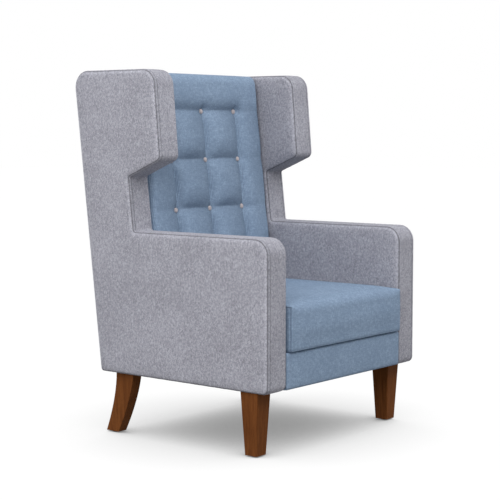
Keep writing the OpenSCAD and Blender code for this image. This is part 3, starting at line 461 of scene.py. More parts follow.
@dataclass
class Nodes:
    """The nodes of a material or of the surroundings, added and joined in short calls."""

    owner: bpy.types.ID

    def __post_init__(self) -> None:
        """Starts with no nodes."""
        self.owner.use_nodes = True
        self.owner.node_tree.nodes.clear()

    def add(self, kind: str, **settings: object) -> bpy.types.Node:
        """Adds a node.

        Args:
            kind: Its type.
            settings: Its properties, by name.

        Returns:
            The node.
        """
        node = self.owner.node_tree.nodes.new(kind)
        for key, value in settings.items():
            setattr(node, key, value)
        return node

    def link(self, a: Socket, b: Socket) -> None:
        """Joins an output to an input."""
        self.owner.node_tree.links.new(a, b)

    def feed(self, socket: Socket, value: object) -> None:
        """Gives an input its value.

        Args:
            socket: The input.
            value: A number, a colour, or the output of another node.
        """
        if isinstance(value, (int, float)):
            socket.default_value = value
        elif isinstance(value, tuple):
            socket.default_value = (*value, 1.0)
        else:
            self.link(value, socket)

    def coords(self, scale: tuple[float, float, float] = (1, 1, 1), kind: str = "Object") -> Socket:
        """Texture places.

        Args:
            scale: Scale along each axis.
            kind: "Object", or "UV" for the piece's own texture places.

        Returns:
            The scaled places.
        """
        source = self.add("ShaderNodeTexCoord")
        mapping = self.add("ShaderNodeMapping")
        mapping.inputs["Scale"].default_value = scale
        self.link(source.outputs[kind], mapping.inputs["Vector"])
        return mapping.outputs["Vector"]

    def noise(self, where: Socket, scale: float, detail: float = 2.0,
              rough: float = 0.5, warp: float = 0.0) -> Socket:
        """Value of a noise field.

        Args:
            where: Texture places.
            scale: About how many swells stand in a metre of unscaled places.
            detail: Number of finer layers.
            rough: Share of each finer layer.
            warp: How far the field is bent.

        Returns:
            The value, about 0.5 on average.
        """
        node = self.add("ShaderNodeTexNoise")
        for key, value in (("Vector", where), ("Scale", scale), ("Detail", detail),
                           ("Roughness", rough), ("Distortion", warp)):
            self.feed(node.inputs[key], value)
        return node.outputs["Fac"]

    def wave(self, where: Socket, way: str, scale: float, warp: float,
             detail: float = 2.0) -> Socket:
        """Value of straight bands.

        Args:
            where: Texture places.
            way: "X", "Y" or "DIAGONAL".
            scale: How close the bands stand.
            warp: How far they are bent.
            detail: Number of finer layers in the bending.

        Returns:
            The value, from 0 to 1.
        """
        node = self.add("ShaderNodeTexWave", wave_type="BANDS", bands_direction=way)
        for key, value in (("Vector", where), ("Scale", scale), ("Distortion", warp),
                           ("Detail", detail)):
            self.feed(node.inputs[key], value)
        return node.outputs["Fac"]

    def math(self, op: str, a: object, b: object) -> Socket:
        """Result of an arithmetic step.

        Args:
            op: The step, such as ADD.
            a: First number or output.
            b: Second number or output.

        Returns:
            The result.
        """
        node = self.add("ShaderNodeMath", operation=op)
        self.feed(node.inputs[0], a)
        self.feed(node.inputs[1], b)
        return node.outputs[0]

    def sway(self, tone: Socket, swing: Socket, middle: float, strength: float) -> Socket:
        """Moves a tone by a field: adds the field less its middle, times the strength.

        Args:
            tone: The tone.
            swing: The field.
            middle: Value of the field that changes nothing.
            strength: How much it counts.

        Returns:
            The moved tone.
        """
        push = self.math("MULTIPLY", self.math("SUBTRACT", swing, middle), strength)
        return self.math("ADD", tone, push)

    def weigh(self, share: float, a: Socket, b: Socket) -> Socket:
        """Adds a value by its share to another by the rest.

        Args:
            share: Share of the first value.
            a: First value.
            b: Second value.

        Returns:
            The sum.
        """
        rest = self.math("MULTIPLY", b, 1.0 - share)
        return self.math("ADD", self.math("MULTIPLY", a, share), rest)

    def ramp(self, value: Socket, *stops: tuple[float, Colour]) -> Socket:
        """Colour of a value.

        Args:
            value: The value.
            stops: Places and colours, with even steps between them.

        Returns:
            The colour.
        """
        node = self.add("ShaderNodeValToRGB")
        ramp = node.color_ramp
        while len(ramp.elements) < len(stops):
            ramp.elements.new(0.5)
        for element, (place, colour) in zip(ramp.elements, stops):
            element.position = place
            element.color = (*colour, 1.0)
        self.link(value, node.inputs["Fac"])
        return node.outputs["Color"]

    def mix(self, share: object, a: object, b: object, blend: str = "MIX") -> Socket:
        """Mixture of two colours.

        Args:
            share: Share of the second colour.
            a: First colour.
            b: Second colour.
            blend: How the second is laid over the first.

        Returns:
            The colour.
        """
        node = self.add("ShaderNodeMix", data_type="RGBA", blend_type=blend)
        share_in, a_in, b_in = (node.inputs[k] for k in (0, 6, 7))
        for socket, value in ((share_in, share), (a_in, a), (b_in, b)):
            self.feed(socket, value)
        return node.outputs[2]

    def seen(self) -> Socket:
        """Tells whether the camera sees a surface itself, in a mirror or through glass.

        Returns:
            1 where it does, and else 0.
        """
        path = self.add("ShaderNodeLightPath")
        direct = self.math("MAXIMUM", path.outputs["Is Camera Ray"], path.outputs["Is Glossy Ray"])
        return self.math("MAXIMUM", direct, path.outputs["Is Transmission Ray"])


@dataclass
class Surface(Nodes):
    """A material's nodes, round one plain shader."""

    shader: bpy.types.Node = field(init=False)
    out: Socket = field(init=False)

    @classmethod
    def named(cls, name: str) -> "Surface":
        """Starts a material of that name."""
        return cls(bpy.data.materials.new(name))

    def __post_init__(self) -> None:
        """Adds the shader and the material's output."""
        super().__post_init__()
        self.shader = self.add("ShaderNodeBsdfPrincipled")
        self.out = self.add("ShaderNodeOutputMaterial").inputs["Surface"]
        self.link(self.shader.outputs["BSDF"], self.out)

    def give(self, name: str, value: object) -> None:
        """Gives an input of the shader a number, a colour or an output."""
        self.feed(self.shader.inputs[name], value)

    def mark(self, name: str) -> Socket:
        """Value of an attribute on the piece."""
        return self.add("ShaderNodeAttribute", attribute_name=name).outputs["Fac"]

    def bump(self, height: Socket, depth: float, strength: float = 1.0) -> None:
        """Adds a relief to the shader, on top of the one it has.

        Args:
            height: Height, from 0 to 1.
            depth: Depth of the relief in metres.
            strength: How much it shows.
        """
        node = self.add("ShaderNodeBump")
        node.inputs["Strength"].default_value = strength
        node.inputs["Distance"].default_value = depth
        before = self.shader.inputs["Normal"]
        if before.is_linked:
            self.link(before.links[0].from_socket, node.inputs["Normal"])
        self.link(height, node.inputs["Height"])
        self.link(node.outputs["Normal"], before)


@dataclass(frozen=True)
class Cloth:
    """Melange of two yarns: weave, sheen, painted shade in seams and painted highlights on rims."""

    name: str
    light: Colour
    dark: Colour
    weave: float = 620.0
    fleck: float = 130.0
    fleck_share: float = 0.62
    thread_share: float = 0.22
    relief: float = 0.0006
    sheen: float = 0.25
    # seam_shade and seam_dark set the painted shade; the rim gain sets the painted highlight
    seam_shade: float = 0.75
    streak: float = 0.72
    crossed: float = 0.0
    spread: float = 0.077
    cloud_share: float = 0.10
    painted_highlight_gain: float = 1.55
    seam_dark: float = 0.22
    roughness: float = 0.92

    def tone(self, n: Surface, fleck: Socket, weave: Socket) -> Socket:
        """Tone between the two yarns: the flecks and a fine fibre noise, moved by weave and clouds.

        Args:
            n: Nodes of the material.
            fleck: The flecks.
            weave: The weave.

        Returns:
            The tone, about 0.5 on average.
        """
        where = n.coords()
        fibre = n.noise(where, self.fleck * 4.2, rough=0.6)
        tone = n.weigh(self.fleck_share, fleck, fibre)
        tone = n.sway(tone, weave, 0.25, self.thread_share)
        return n.sway(tone, n.noise(where, 9.0), 0.5, self.cloud_share)

    def build(self) -> bpy.types.Material:
        """Makes the material.

        The colour runs between the two yarns by the tone. The flecks are drawn out upwards, and in
        a crossed cloth a second set is drawn out sideways. The weave is the product of two waves
        across and along the cloth. The attribute of seams and painted light darkens the cloth
        above 0, for the seam lines and painted shade, and pales it below 0, for painted highlights.

        Returns:
            The material.
        """
        n = Surface.named(self.name)
        upright = n.coords((1, 1, self.streak))
        fleck = n.noise(upright, self.fleck, detail=4.0, rough=0.72, warp=0.8)
        if self.crossed:
            level = n.coords((self.streak, self.streak, 1))
            sideways = n.noise(level, self.fleck, detail=4.0, rough=0.72)
            fleck = n.mix(self.crossed, fleck, sideways)
        cloth = n.coords((self.weave, self.weave, 1.0), "UV")
        across, along = (n.wave(cloth, way, 0.16, warp=1.4, detail=1.0) for way in ("X", "Y"))
        weave = n.math("MULTIPLY", across, along)
        colour = n.ramp(self.tone(n, fleck, weave), (0.5 - self.spread, self.dark),
                        (0.5 + self.spread, self.light))
        # Seam lines with painted shade, painted shade of the pillows, and painted highlights below 0
        seam = n.mark("seam")
        rim = n.math("MAXIMUM", n.math("MULTIPLY", seam, -1.0), 0.0)
        # Painted highlight: where the attribute is below 0 the colour is raised by the rim gain
        colour = n.mix(rim, colour, (self.painted_highlight_gain,) * 3, "MULTIPLY")
        # Painted shade: where it is above 0 the colour goes towards a darker yarn, also on seam
        # lines
        shade = n.math("MULTIPLY", n.math("MAXIMUM", seam, 0.0), self.seam_shade)
        colour = n.mix(shade, colour, tuple(c * self.seam_dark for c in self.dark))
        for key, value in (("Base Color", colour), ("Roughness", self.roughness),
                           ("Specular IOR Level", 0.25), ("Sheen Weight", self.sheen),
                           ("Sheen Roughness", 0.45), ("Sheen Tint", self.light)):
            n.give(key, value)
        n.bump(weave, self.relief, 0.7)
        n.bump(fleck, self.relief * 1.6, 0.6)
        return n.owner


@dataclass(frozen=True)
class Wood:
    """A planed timber whose grain runs along one axis, with pores and slow colour bands."""

    name: str
    light: Colour
    dark: Colour
    grain: tuple[float, float, float] = (1.0, 1.0, 0.06)
    scale: float = 90.0
    roughness: float = 0.42
    gloss: float = 0.03
    pore_dark: Colour = (0.78, 0.75, 0.72)

    def build(self) -> bpy.types.Material:
        """Makes the material: noise drawn out along the grain gives the bands and the pores.

        Returns:
            The material.
        """
        n = Surface.named(self.name)
        where = n.coords(self.grain)
        bands = n.noise(where, self.scale, detail=3.0, rough=0.55, warp=1.2)
        pores = n.noise(where, self.scale * 9, rough=0.7)
        slow = n.noise(n.coords(), 7.0, detail=1.0)
        colour = n.ramp(n.weigh(0.7, bands, slow), (0.36, self.dark), (0.64, self.light))
        pore = n.ramp(pores, (0.35, self.pore_dark), (0.5, (1, 1, 1)))
        n.give("Base Color", n.mix(1.0, colour, pore, "MULTIPLY"))
        n.give("Roughness", self.roughness)
        n.give("Specular IOR Level", self.gloss)
        n.give("Coat Roughness", 0.3)
        n.bump(pores, 0.0002, 0.5)
        return n.owner


@dataclass(frozen=True)
class Foam:
    """Cut foam or wadding: pale, with open cells."""

    name: str
    light: Colour
    dark: Colour
    cell: float = 500.0

    def build(self) -> bpy.types.Material:
        """Makes the material: cells of a Voronoi field give the relief and the shade.

        Returns:
            The material.
        """
        n = Surface.named(self.name)
        where = n.coords()
        cells = n.add("ShaderNodeTexVoronoi")
        cells.inputs["Scale"].default_value = self.cell
        n.link(where, cells.inputs["Vector"])
        depth = cells.outputs["Distance"]
        tone = n.weigh(0.5, depth, n.noise(where, 14.0))
        n.give("Base Color", n.ramp(tone, (0.3, self.dark), (0.62, self.light)))
        n.give("Roughness", 0.95)
        n.bump(depth, 0.0006)
        return n.owner


@dataclass(frozen=True)
class Metal:
    """Wire or plated steel, brushed by a fine noise."""

    name: str
    colour: Colour
    roughness: float = 0.35
    dimmer: float = 0.72

    def build(self) -> bpy.types.Material:
        """Makes the material: a drawn-out noise moves the colour, the gloss and the relief.

        Returns:
            The material.
        """
        n = Surface.named(self.name)
        brush = n.noise(n.coords((1.0, 14.0, 14.0)), 60.0, detail=3.0)
        spots = n.noise(n.coords(), 120.0)
        dim = tuple(c * self.dimmer for c in self.colour)
        n.give("Base Color", n.ramp(spots, (0.35, dim), (0.65, self.colour)))
        n.give("Metallic", 1.0)
        n.give("Roughness", n.math("ADD", n.math("MULTIPLY", brush, 0.2), self.roughness - 0.1))
        n.bump(brush, 0.0001, 0.4)
        return n.owner


@dataclass(frozen=True)
class Plastic:
    """A moulded plastic with a fine grain."""

    name: str
    colour: Colour
    roughness: float = 0.5

    def build(self) -> bpy.types.Material:
        """Makes the material: noise gives the moulded grain and slight wear.

        Returns:
            The material.
        """
        n = Surface.named(self.name)
        where = n.coords()
        pale = tuple(min(1.0, c * 1.25 + 0.01) for c in self.colour)
        wear = n.ramp(n.noise(where, 60.0, detail=3.0), (0.4, self.colour), (0.7, pale))
        n.give("Base Color", wear)
        n.give("Roughness", self.roughness)
        n.bump(n.noise(where, 1500.0, detail=1.0), 0.0001, 0.5)
        return n.owner


@dataclass(frozen=True)
class Band:
    """Elastic webbing: ribs along its length and a few coloured threads."""

    name: str
    colour: Colour
    stripe: Colour

    def build(self) -> bpy.types.Material:
        """Makes the material: waves on two axes give the ribs, and a drawn-out noise the stripes.

        Returns:
            The material.
        """
        n = Surface.named(self.name)
        ribs = n.wave(n.coords(), "DIAGONAL", 260.0, warp=0.6)
        stripe = n.noise(n.coords((1.0, 0.02, 0.02)), 300.0, detail=1.0)
        n.give("Base Color", n.ramp(stripe, (0.55, self.colour), (0.62, self.stripe)))
        n.give("Roughness", 0.85)
        n.bump(ribs, 0.0005)
        return n.owner


class Finish(Enum):
    """The finishes of the chair, one for each material slot of the record."""

    GREY_CLOTH = Cloth("grey_melange_wool", (0.47, 0.47, 0.53), (0.195, 0.195, 0.226), 620.0, 190.0)
    BLUE_CLOTH = Cloth("blue_woven_wool", (0.290, 0.385, 0.520), (0.152, 0.216, 0.312), 560.0,
                       210.0, fleck_share=0.72, thread_share=0.30, sheen=0.2, seam_shade=0.55,
                       streak=0.35, crossed=0.5, spread=0.06)
    DECK_CLOTH = Cloth("deck_lining", (0.13, 0.14, 0.16), (0.08, 0.09, 0.10), 480.0)
    DUST_CLOTH = Cloth("dust_cloth", (0.035, 0.035, 0.037), (0.018, 0.018, 0.02), 300.0, 400.0)
    BUTTON_CLOTH = Cloth("button_wool", (0.62, 0.56, 0.56), (0.43, 0.38, 0.39), 900.0, 500.0)
    THREAD = Cloth("sewing_thread", (0.20, 0.20, 0.225), (0.12, 0.12, 0.14), 2400.0, 900.0)
    BLUE_THREAD = Cloth("blue_sewing_thread", (0.11, 0.16, 0.24), (0.07, 0.11, 0.17), 2400.0, 900.0)
    FOAM = Foam("cut_foam", (0.86, 0.82, 0.66), (0.72, 0.67, 0.50))
    WADDING = Foam("polyester_wadding", (0.90, 0.90, 0.88), (0.74, 0.74, 0.73), 260.0)
    WEBBING = Band("elastic_webbing", (0.06, 0.06, 0.065), (0.35, 0.12, 0.08))
    TWINE = Cloth("waxed_twine", (0.72, 0.66, 0.54), (0.52, 0.47, 0.37), 1500.0, 900.0)
    FRAME_WOOD = Wood("planed_beech", (0.66, 0.47, 0.30), (0.52, 0.35, 0.21), (1.0, 1.0, 0.08),
                      60.0, 0.6)
    BOARD = Wood("hardboard", (0.36, 0.22, 0.12), (0.25, 0.15, 0.08), (1.0, 1.0, 1.0), 200.0, 0.7)
    WALNUT = Wood("satin_walnut", (0.178, 0.062, 0.0180), (0.110, 0.036, 0.0105), (1.0, 1.0, 0.05),
                  140.0, 0.5)
    SPRING_STEEL = Metal("spring_wire", (0.24, 0.24, 0.25), 0.4)
    ZINC_STEEL = Metal("zinc_plate", (0.62, 0.62, 0.63), 0.32)
    ZIP_PLASTIC = Plastic("zip_nylon", (0.05, 0.07, 0.11), 0.45)
    TOGGLE_PLASTIC = Plastic("toggle_plastic", (0.72, 0.72, 0.70), 0.45)
    GLIDE_PLASTIC = Plastic("glide_plastic", (0.02, 0.02, 0.022), 0.5)

    @property
    def slot(self) -> str:
        """The record's slot that goes with the finish."""
        plain = {"THREAD": "grey_cloth", "BLUE_THREAD": "blue_cloth"}
        return plain.get(self.name, self.name.lower())

    def material(self) -> bpy.types.Material:
        """The finish's material, made once."""
        return bpy.data.materials.get(self.value.name) or self.value.build()


def dress(obj: bpy.types.Object, finish: Finish, body: Body, *nodes: str) -> bpy.types.Object:
    """Gives a piece its material, its body and the CAD nodes it stands for.

    Args:
        obj: The piece.
        finish: Its finish.
        body: The body it rides on.
        nodes: The CAD nodes that it replaces.

    Returns:
        The piece.
    """
    obj.data.materials.clear()
    obj.data.materials.append(finish.material())
    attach(obj, body.value)
    if nodes:
        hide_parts(*nodes)
    LOG.info("%s: %d vertices, %s", obj.name, len(obj.data.vertices), finish.value.name)
    return obj


# Stitching


@dataclass
class StitchRow:
    """A row of thread stitches laid along a path on a piece."""

    name: str
    pitch: float = 0.0046
    stitch: float = 0.0034
    radius: float = 0.00042
    facets: int = 6

    def quads(self, rings: int, points: int) -> Array:
        """Faces of all stitches: walls between the rings, and two quads on each six-sided end.

        Args:
            rings: Rings in a stitch.
            points: Vertices of all stitches.

        Returns:
            Vertex numbers, four to a face.
        """
        n = self.facets
        base = np.arange(0, points, rings * n)[:, None, None]
        i = np.arange(rings - 1)[None, :, None] * n
        j = np.arange(n)[None, None, :]
        k = (j + 1) % n
        walls = np.stack([base + i + j, base + i + n + j, base + i + n + k, base + i + k], axis=-1)
        first, last = base[:, 0], base[:, 0] + (rings - 1) * n
        halves = np.array([[0, 1, 2, 3], [0, 3, 4, 5]])
        ends = [first + halves[0], first + halves[1],
                last + halves[0, ::-1], last + halves[1, ::-1]]
        return np.concatenate([walls.reshape(-1, 4)] + ends)

    def build(self, paths: list[tuple[Array, Array]]) -> bpy.types.Object:
        """Lays a stitch on every pitch of each path.

        A stitch is a spindle: it is thin at both ends, and its middle line rises from the cloth as
        a flat arch.

        Args:
            paths: Pairs of points and outward normals, closely sampled, in metres.

        Returns:
            The row as one object.
        """
        shares = np.array([0.0, 0.12, 0.5, 0.88, 1.0])
        radii = self.radius * np.array([0.35, 0.9, 1.0, 0.9, 0.35])
        lift = self.radius * np.array([-0.5, 0.35, 0.6, 0.35, -0.5])
        angle = np.linspace(0, 2 * math.pi, self.facets, endpoint=False)[None, None, :, None]
        rings = []
        for points, normals in paths:
            run = np.concatenate([[0], np.cumsum(np.linalg.norm(np.diff(points, axis=0), axis=1))])
            starts = (np.arange(int(run[-1] // self.pitch)) + 0.1) * self.pitch
            place = starts[:, None] + shares[None, :] * self.stitch
            middle, up = (np.stack([np.interp(place, run, line[:, a]) for a in range(3)], axis=-1)
                          for line in (points, normals))
            up /= np.linalg.norm(up, axis=-1, keepdims=True)
            centre = middle + up * lift[None, :, None]
            along = np.gradient(centre, axis=1)
            along /= np.linalg.norm(along, axis=-1, keepdims=True)
            side = np.cross(along, up)
            ring = centre[:, :, None, :] + radii[None, :, None, None] * (
                np.cos(angle) * side[:, :, None, :] + np.sin(angle) * up[:, :, None, :])
            rings.append(ring.reshape(-1, 3))
        points = np.concatenate(rings)
        quads = self.quads(len(shares), len(points))
        uv = np.zeros((len(quads), 4, 2))
        uv[..., 0] = points[quads][..., 0] + points[quads][..., 1]
        uv[..., 1] = points[quads][..., 2]
        return make_object(self.name, points, [Patch(quads, uv)])


# Skins that follow the side panel's outline


class Zone(Enum):
    """The zones of a side panel's skin."""

    OUTER = 0
    BOXING = 1
    INNER = 2


@dataclass
class PanelSkin:
    """Closed skin round the side panel's outline: rings of points, and a face at each end."""

    spans: tuple[int, ...]
    unevenness: float = 0.0005
    line: Outline = field(init=False)
    stack: list[Array] = field(default_factory=list)
    # Per ring: seam lines with painted shade above 0, painted highlights below 0
    seams: list[Array] = field(default_factory=list)
    zones: list[Zone] = field(default_factory=list)

    def __post_init__(self) -> None:
        """Samples the outline."""
        self.line = Outline.of_panel(self.spans)

    def ring(self, offset: Array | float, x: Array | float, seam: Array | float,
             zone: Zone) -> None:
        """Adds a ring of points.

        Args:
            offset: How far outside the outline the ring lies.
            x: Its distance from the middle of the chair.
            seam: How dark the cloth is there, from 0 to 1, for a seam line and painted shade,
            or how pale, from 0 to -1, for a painted highlight.
            zone: Zone that it belongs to.
        """
        one = np.ones(len(self.line.points))
        yz = self.line.points + self.line.normals * (offset * one)[:, None]
        self.stack.append(np.column_stack([x * one, yz]))
        self.seams.append(seam * one)
        self.zones.append(zone)

    def strip(self, rows: range, closed: Array, zone: Zone) -> Patch:
        """Joins neighbouring rings into quads.

        Args:
            rows: Numbers of the rings.
            closed: Vertex numbers of all rings, each ending with its first.
            zone: Zone of the strip. On the boxing the texture runs along the outline.

        Returns:
            The patch of quads.
        """
        rings = np.array([self.stack[r] for r in rows])
        if zone is Zone.BOXING:
            u = np.repeat(self.line.run[None], len(rows), axis=0)
            last = np.full((len(rows), 1), self.line.length)
            v = np.repeat(np.abs(rings[:, :1, 0] - PLAN.seam_x), u.shape[1], axis=1)
        else:
            u, v = rings[..., 1], rings[..., 2]
            last = u[:, :1]
        u = np.concatenate([u, last], axis=1)
        v = np.concatenate([v, v[:, :1]], axis=1)
        return grid_patch(closed[rows], u, v)

    def sides(self, ring: Array) -> tuple[Array, Array, Array, Array]:
        """Cuts a ring into the four sides of its face.

        Args:
            ring: Its vertex numbers.

        Returns:
            The rear chain, the front chain, and the lines from the one's start and end to the
            other's.
        """
        a, b = sum(self.spans[:4]), self.spans[4]
        border = np.concatenate([ring, ring[:1]])
        return (border[: a + 1], border[a + b : 2 * a + b + 1][::-1], border[2 * a + b :][::-1],
                border[a : a + b + 1])

    def close(self, name: str, outer: Callable[[Array], Array], inner: Callable[[Array], Array],
              side: Side) -> bpy.types.Object:
        """Fills both ends and makes the object.

        Each end is a grid between the four sides of its last ring. Its height is a function of the
        distance from the outline.

        Args:
            name: Name of the piece.
            outer: X of the outer end, from the distance.
            inner: X of the inner end, from the distance.
            side: Side of the chair.

        Returns:
            The closed skin.
        """
        points = np.concatenate(self.stack)
        index = np.arange(len(points)).reshape(len(self.stack), -1)
        closed = np.concatenate([index, index[:, :1]], axis=1)
        first = self.zones.count(Zone.OUTER) - 1
        last = len(self.zones) - self.zones.count(Zone.INNER)
        patches = [self.strip(range(0, first + 1), closed, Zone.OUTER),
                   self.strip(range(first, last + 1), closed, Zone.BOXING),
                   self.strip(range(last, len(self.zones)), closed, Zone.INNER)]
        for ring, height, way in ((0, outer, 1), (-1, inner, -1)):
            low, high, start, end = self.sides(index[ring])
            face = between_sides(*(points[k, 1:] for k in (low, high, start, end)))
            flat = face.reshape(-1, 2)
            away = self.line.distance(flat)
            body = np.column_stack([height(away), flat])
            lift = self.unevenness * ripple(body, 0.16, 3) * np.clip(away / 0.05, 0, 1)
            body[:, 0] += way * lift
            grid = len(points) + np.arange(len(body)).reshape(face.shape[:2])
            points = np.concatenate([points, body])
            grid[:, 0], grid[:, -1], grid[0], grid[-1] = low, high, start, end
            patches.append(grid_patch(grid, face[..., 0], face[..., 1], flip=way < 0))
        points[:, 0] *= side.value
        if side is Side.RIGHT:
            patches = [Patch(p.quads[:, ::-1], p.uv[:, ::-1]) for p in patches]
        # Seam lines, painted shade and painted highlights of the rings; the end faces get none
        seams = np.zeros(len(points))
        seams[: index.size] = np.concatenate(self.seams)
        return make_object(name, points, patches, {"seam": seams})


@dataclass
class SidePanel:
    """One padded side: arm, column and wing, covered by two crowned faces and a boxing strip."""

    side: Side
    valley: float = 0.0006
    roll: float = 0.0021
    roll_run: float = 0.0020
    face_roll: float = 0.0034
    face_run: float = 0.0036
    crown_run: float = 0.030
    boxing_swell: float = 0.0010
    stitch_at: float = 0.0095
    stitch_w: float = 0.0012
    groove: float = 0.0013
    groove_w: float = 0.0018
    fold: float = 0.0007
    fold_w: float = 0.0028
    pucker_face: float = 0.00035
    pucker_boxing: float = 0.0003
    pucker_at: float = 0.005
    pucker_pitch: float = 0.011
    pucker_beat: float = 0.047
    # seam_w to foot_w set the dark seam lines, the painted shade on lower edges and painted
    # highlights
    seam_w: float = 0.0013
    rim_at: float = 0.0055
    rim_w: float = 0.0034
    rim_light: float = 0.42
    fold_light: float = 0.2
    wing_light: float = 1.6
    fold_light_w: float = 0.0018
    foot_painted_shade: float = 0.9
    foot_w: float = 0.0045
    spans: tuple[int, ...] = (90, 80, 24, 50, 70)
    rings: tuple[float, ...] = (0.0, 0.0007, 0.0016, 0.0028, 0.0045, 0.0065, 0.009, 0.012)
    boxing_rings: tuple[float, ...] = (
        0.0007, 0.0016, 0.0028, 0.0045, 0.0062, 0.0076, 0.0086, 0.0095, 0.0104, 0.0114, 0.0128,
        0.0155, 0.020, 0.027, 0.0345)
    foam_spans: tuple[int, ...] = (30, 26, 8, 16, 20)
    foam_r: float = 0.0045
    foam_inset: float = 0.0032

    def face_height(self, d: Array | float, crown: float) -> Array:
        """Height of a padded face over its seam.

        The roll at the seam is 1 less e to the minus distance over run, and the crown is a parabola
        over its run.

        Args:
            d: Distance from the seam.
            crown: Height of the face's middle.

        Returns:
            The height.
        """
        ease = np.clip(np.asarray(d) / self.crown_run, 0, 1)
        rise = self.face_roll * (1 - np.exp(-np.asarray(d) / self.face_run))
        return rise + (crown - self.face_roll) * (1 - (1 - ease) ** 2)

    def boxing_height(self, v: Array | float) -> Array:
        """Height of the boxing over the outline.

        It rolls up from both seams, dips under the top stitching beside the outer seam, and swells
        as half a sine wave. The fold between that seam and the stitching stands up like a cord.

        Args:
            v: Place across its width, from the outer seam.

        Returns:
            The height.
        """
        width = PLAN.panel_t
        e = np.minimum(v, width - v)
        rise = self.roll * (1 - np.exp(-e / self.roll_run)) - self.valley
        dip = self.groove * bell(v - self.stitch_at, self.groove_w)
        fold = self.fold * bell(v - self.stitch_at * 0.5, self.fold_w)
        return rise - dip + fold + self.boxing_swell * np.sin(math.pi * v / width)

    def cover(self) -> bpy.types.Object:
        """Makes the closed cover: rings from the outer face over the boxing to the inner face.

        Beside the seams the cloth puckers by the product of two sine waves along the outline. The
        seam lines and the top stitching line are dark, with painted shade in their grooves, and
        painted shade darkens the seams further along the lower edges that face down. The rolls
        beside the seams get a painted highlight where they do not face down, and so does the fold
        beside the stitching, most of all under the wing.

        Returns:
            The cover.
        """
        skin = PanelSkin(self.spans)
        turn = skin.line.run * 2 * math.pi
        pucker = np.sin(turn / self.pucker_pitch) * np.sin(turn / self.pucker_beat)
        down = smoothstep(-1.2 * skin.line.normals[:, 1])
        lit = (1 - down) * (0.75 + 0.25 * pucker)
        under_wing = down * (skin.line.points[:, 1] > PLAN.arm_z)
        foot = down - under_wing
        width = PLAN.panel_t
        half = np.array(self.boxing_rings)

        def face_ring(d: float, x: float, crown: float, way: int, zone: Zone) -> None:
            """Adds a ring of a face.

            Args:
                d: Distance from the seam.
                x: Place of the seam.
                crown: Height of the face's middle.
                way: 1 where the face looks away from the chair's middle, and else -1.
                zone: Zone of the face.
            """
            wave = self.pucker_face * pucker * float(bell(d - self.pucker_at, 0.005)) * (d > 0)
            h = self.face_height(d, crown) + wave
            # Painted highlight on the roll beside the seam, where the outline does not face down
            pale = self.rim_light * float(bell(d - self.rim_at, self.rim_w)) * lit * (d > 0)
            skin.ring(-(self.valley + d), x + way * h, float(bell(d, self.seam_w)) - pale, zone)

        for d in self.rings[::-1]:
            face_ring(d, PLAN.seam_x, PLAN.outer_crown, 1, Zone.OUTER)
        for v in np.concatenate([half, [width / 2], width - half[::-1]]):
            e = min(v, width - v)
            wave = self.pucker_boxing * pucker * float(bell(e - self.pucker_at, 0.004))
            # Dark seam and stitching lines: the seams, with painted shade in their grooves
            dark = max(float(bell(e, self.seam_w)),
                       0.8 * float(bell(v - self.stitch_at, self.stitch_w)))
            # Painted highlight on the fold beside the stitching, strongest under the wing
            fold = float(bell(v - self.stitch_at * 0.5, self.fold_light_w))
            seam = dark - (self.fold_light + self.wing_light * under_wing) * fold
            # Painted shade along the seams of the lower edges that face down
            seam = np.maximum(seam, self.foot_painted_shade * foot * float(bell(e, self.foot_w)))
            skin.ring(self.boxing_height(v) + wave, PLAN.seam_x - v, seam, Zone.BOXING)
        for d in self.rings:
            face_ring(d, PLAN.seam_in, PLAN.inner_crown, -1, Zone.INNER)
        word = self.side.word
        obj = skin.close(
            f"side_cover_{word}",
            lambda d: PLAN.seam_x + self.face_height(d - self.valley, PLAN.outer_crown),
            lambda d: PLAN.seam_in - self.face_height(d - self.valley, PLAN.inner_crown),
            self.side)
        dress(obj, Finish.GREY_CLOTH, Body.CHAIR, f"side_outer_panel_{word}",
              f"side_inner_panel_{word}", f"side_boxing_{word}")
        return obj

    def stitches(self) -> bpy.types.Object:
        """Lays the row of top stitching on the boxing beside the outer seam.

        Returns:
            The row.
        """
        line = Outline.of_panel(self.spans)
        v = self.stitch_at
        yz = line.points + line.normals * float(self.boxing_height(v))
        pts = np.column_stack([np.full(len(yz), (PLAN.seam_x - v) * self.side.value), yz])
        nor = np.column_stack([np.zeros(len(yz)), line.normals])
        path = (np.vstack([pts, pts[:1]]), np.vstack([nor, nor[:1]]))
        obj = StitchRow(f"side_stitches_{self.side.word}").build([path])
        return dress(obj, Finish.THREAD, Body.CHAIR)

    def foam(self, zone: Zone) -> bpy.types.Object:
        """Makes one of the two foam sheets glued to the frame, its edges worn to quarter circles.

        Args:
            zone: The face that it lies under.

        Returns:
            The sheet.
        """
        face = zone.name.lower()
        low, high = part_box(f"side_{face}_foam_left")
        r, inset = self.foam_r, self.foam_inset
        skin = PanelSkin(self.foam_spans)
        angle = np.linspace(0, math.pi / 2, 5)
        for a in angle[:-1]:
            skin.ring(-inset - r * (1 - math.sin(a)), high.x - r * (1 - math.cos(a)), 0, Zone.OUTER)
        skin.ring(-inset, high.x - r, 0, Zone.BOXING)
        skin.ring(-inset, low.x + r, 0, Zone.BOXING)
        for a in angle[::-1][1:]:
            skin.ring(-inset - r * (1 - math.sin(a)), low.x + r * (1 - math.cos(a)), 0, Zone.INNER)
        name = f"side_{face}_foam_{self.side.word}"
        obj = skin.close(f"{name}_sheet", lambda d: high.x + 0 * d, lambda d: low.x + 0 * d,
                         self.side)
        dress(obj, Finish.FOAM, Body.CHAIR, name)
        return obj

    def build(self) -> list[bpy.types.Object]:
        """Makes all pieces of the side."""
        return [self.cover(), self.stitches(), self.foam(Zone.OUTER), self.foam(Zone.INNER)]


# Blocks with rounded edges


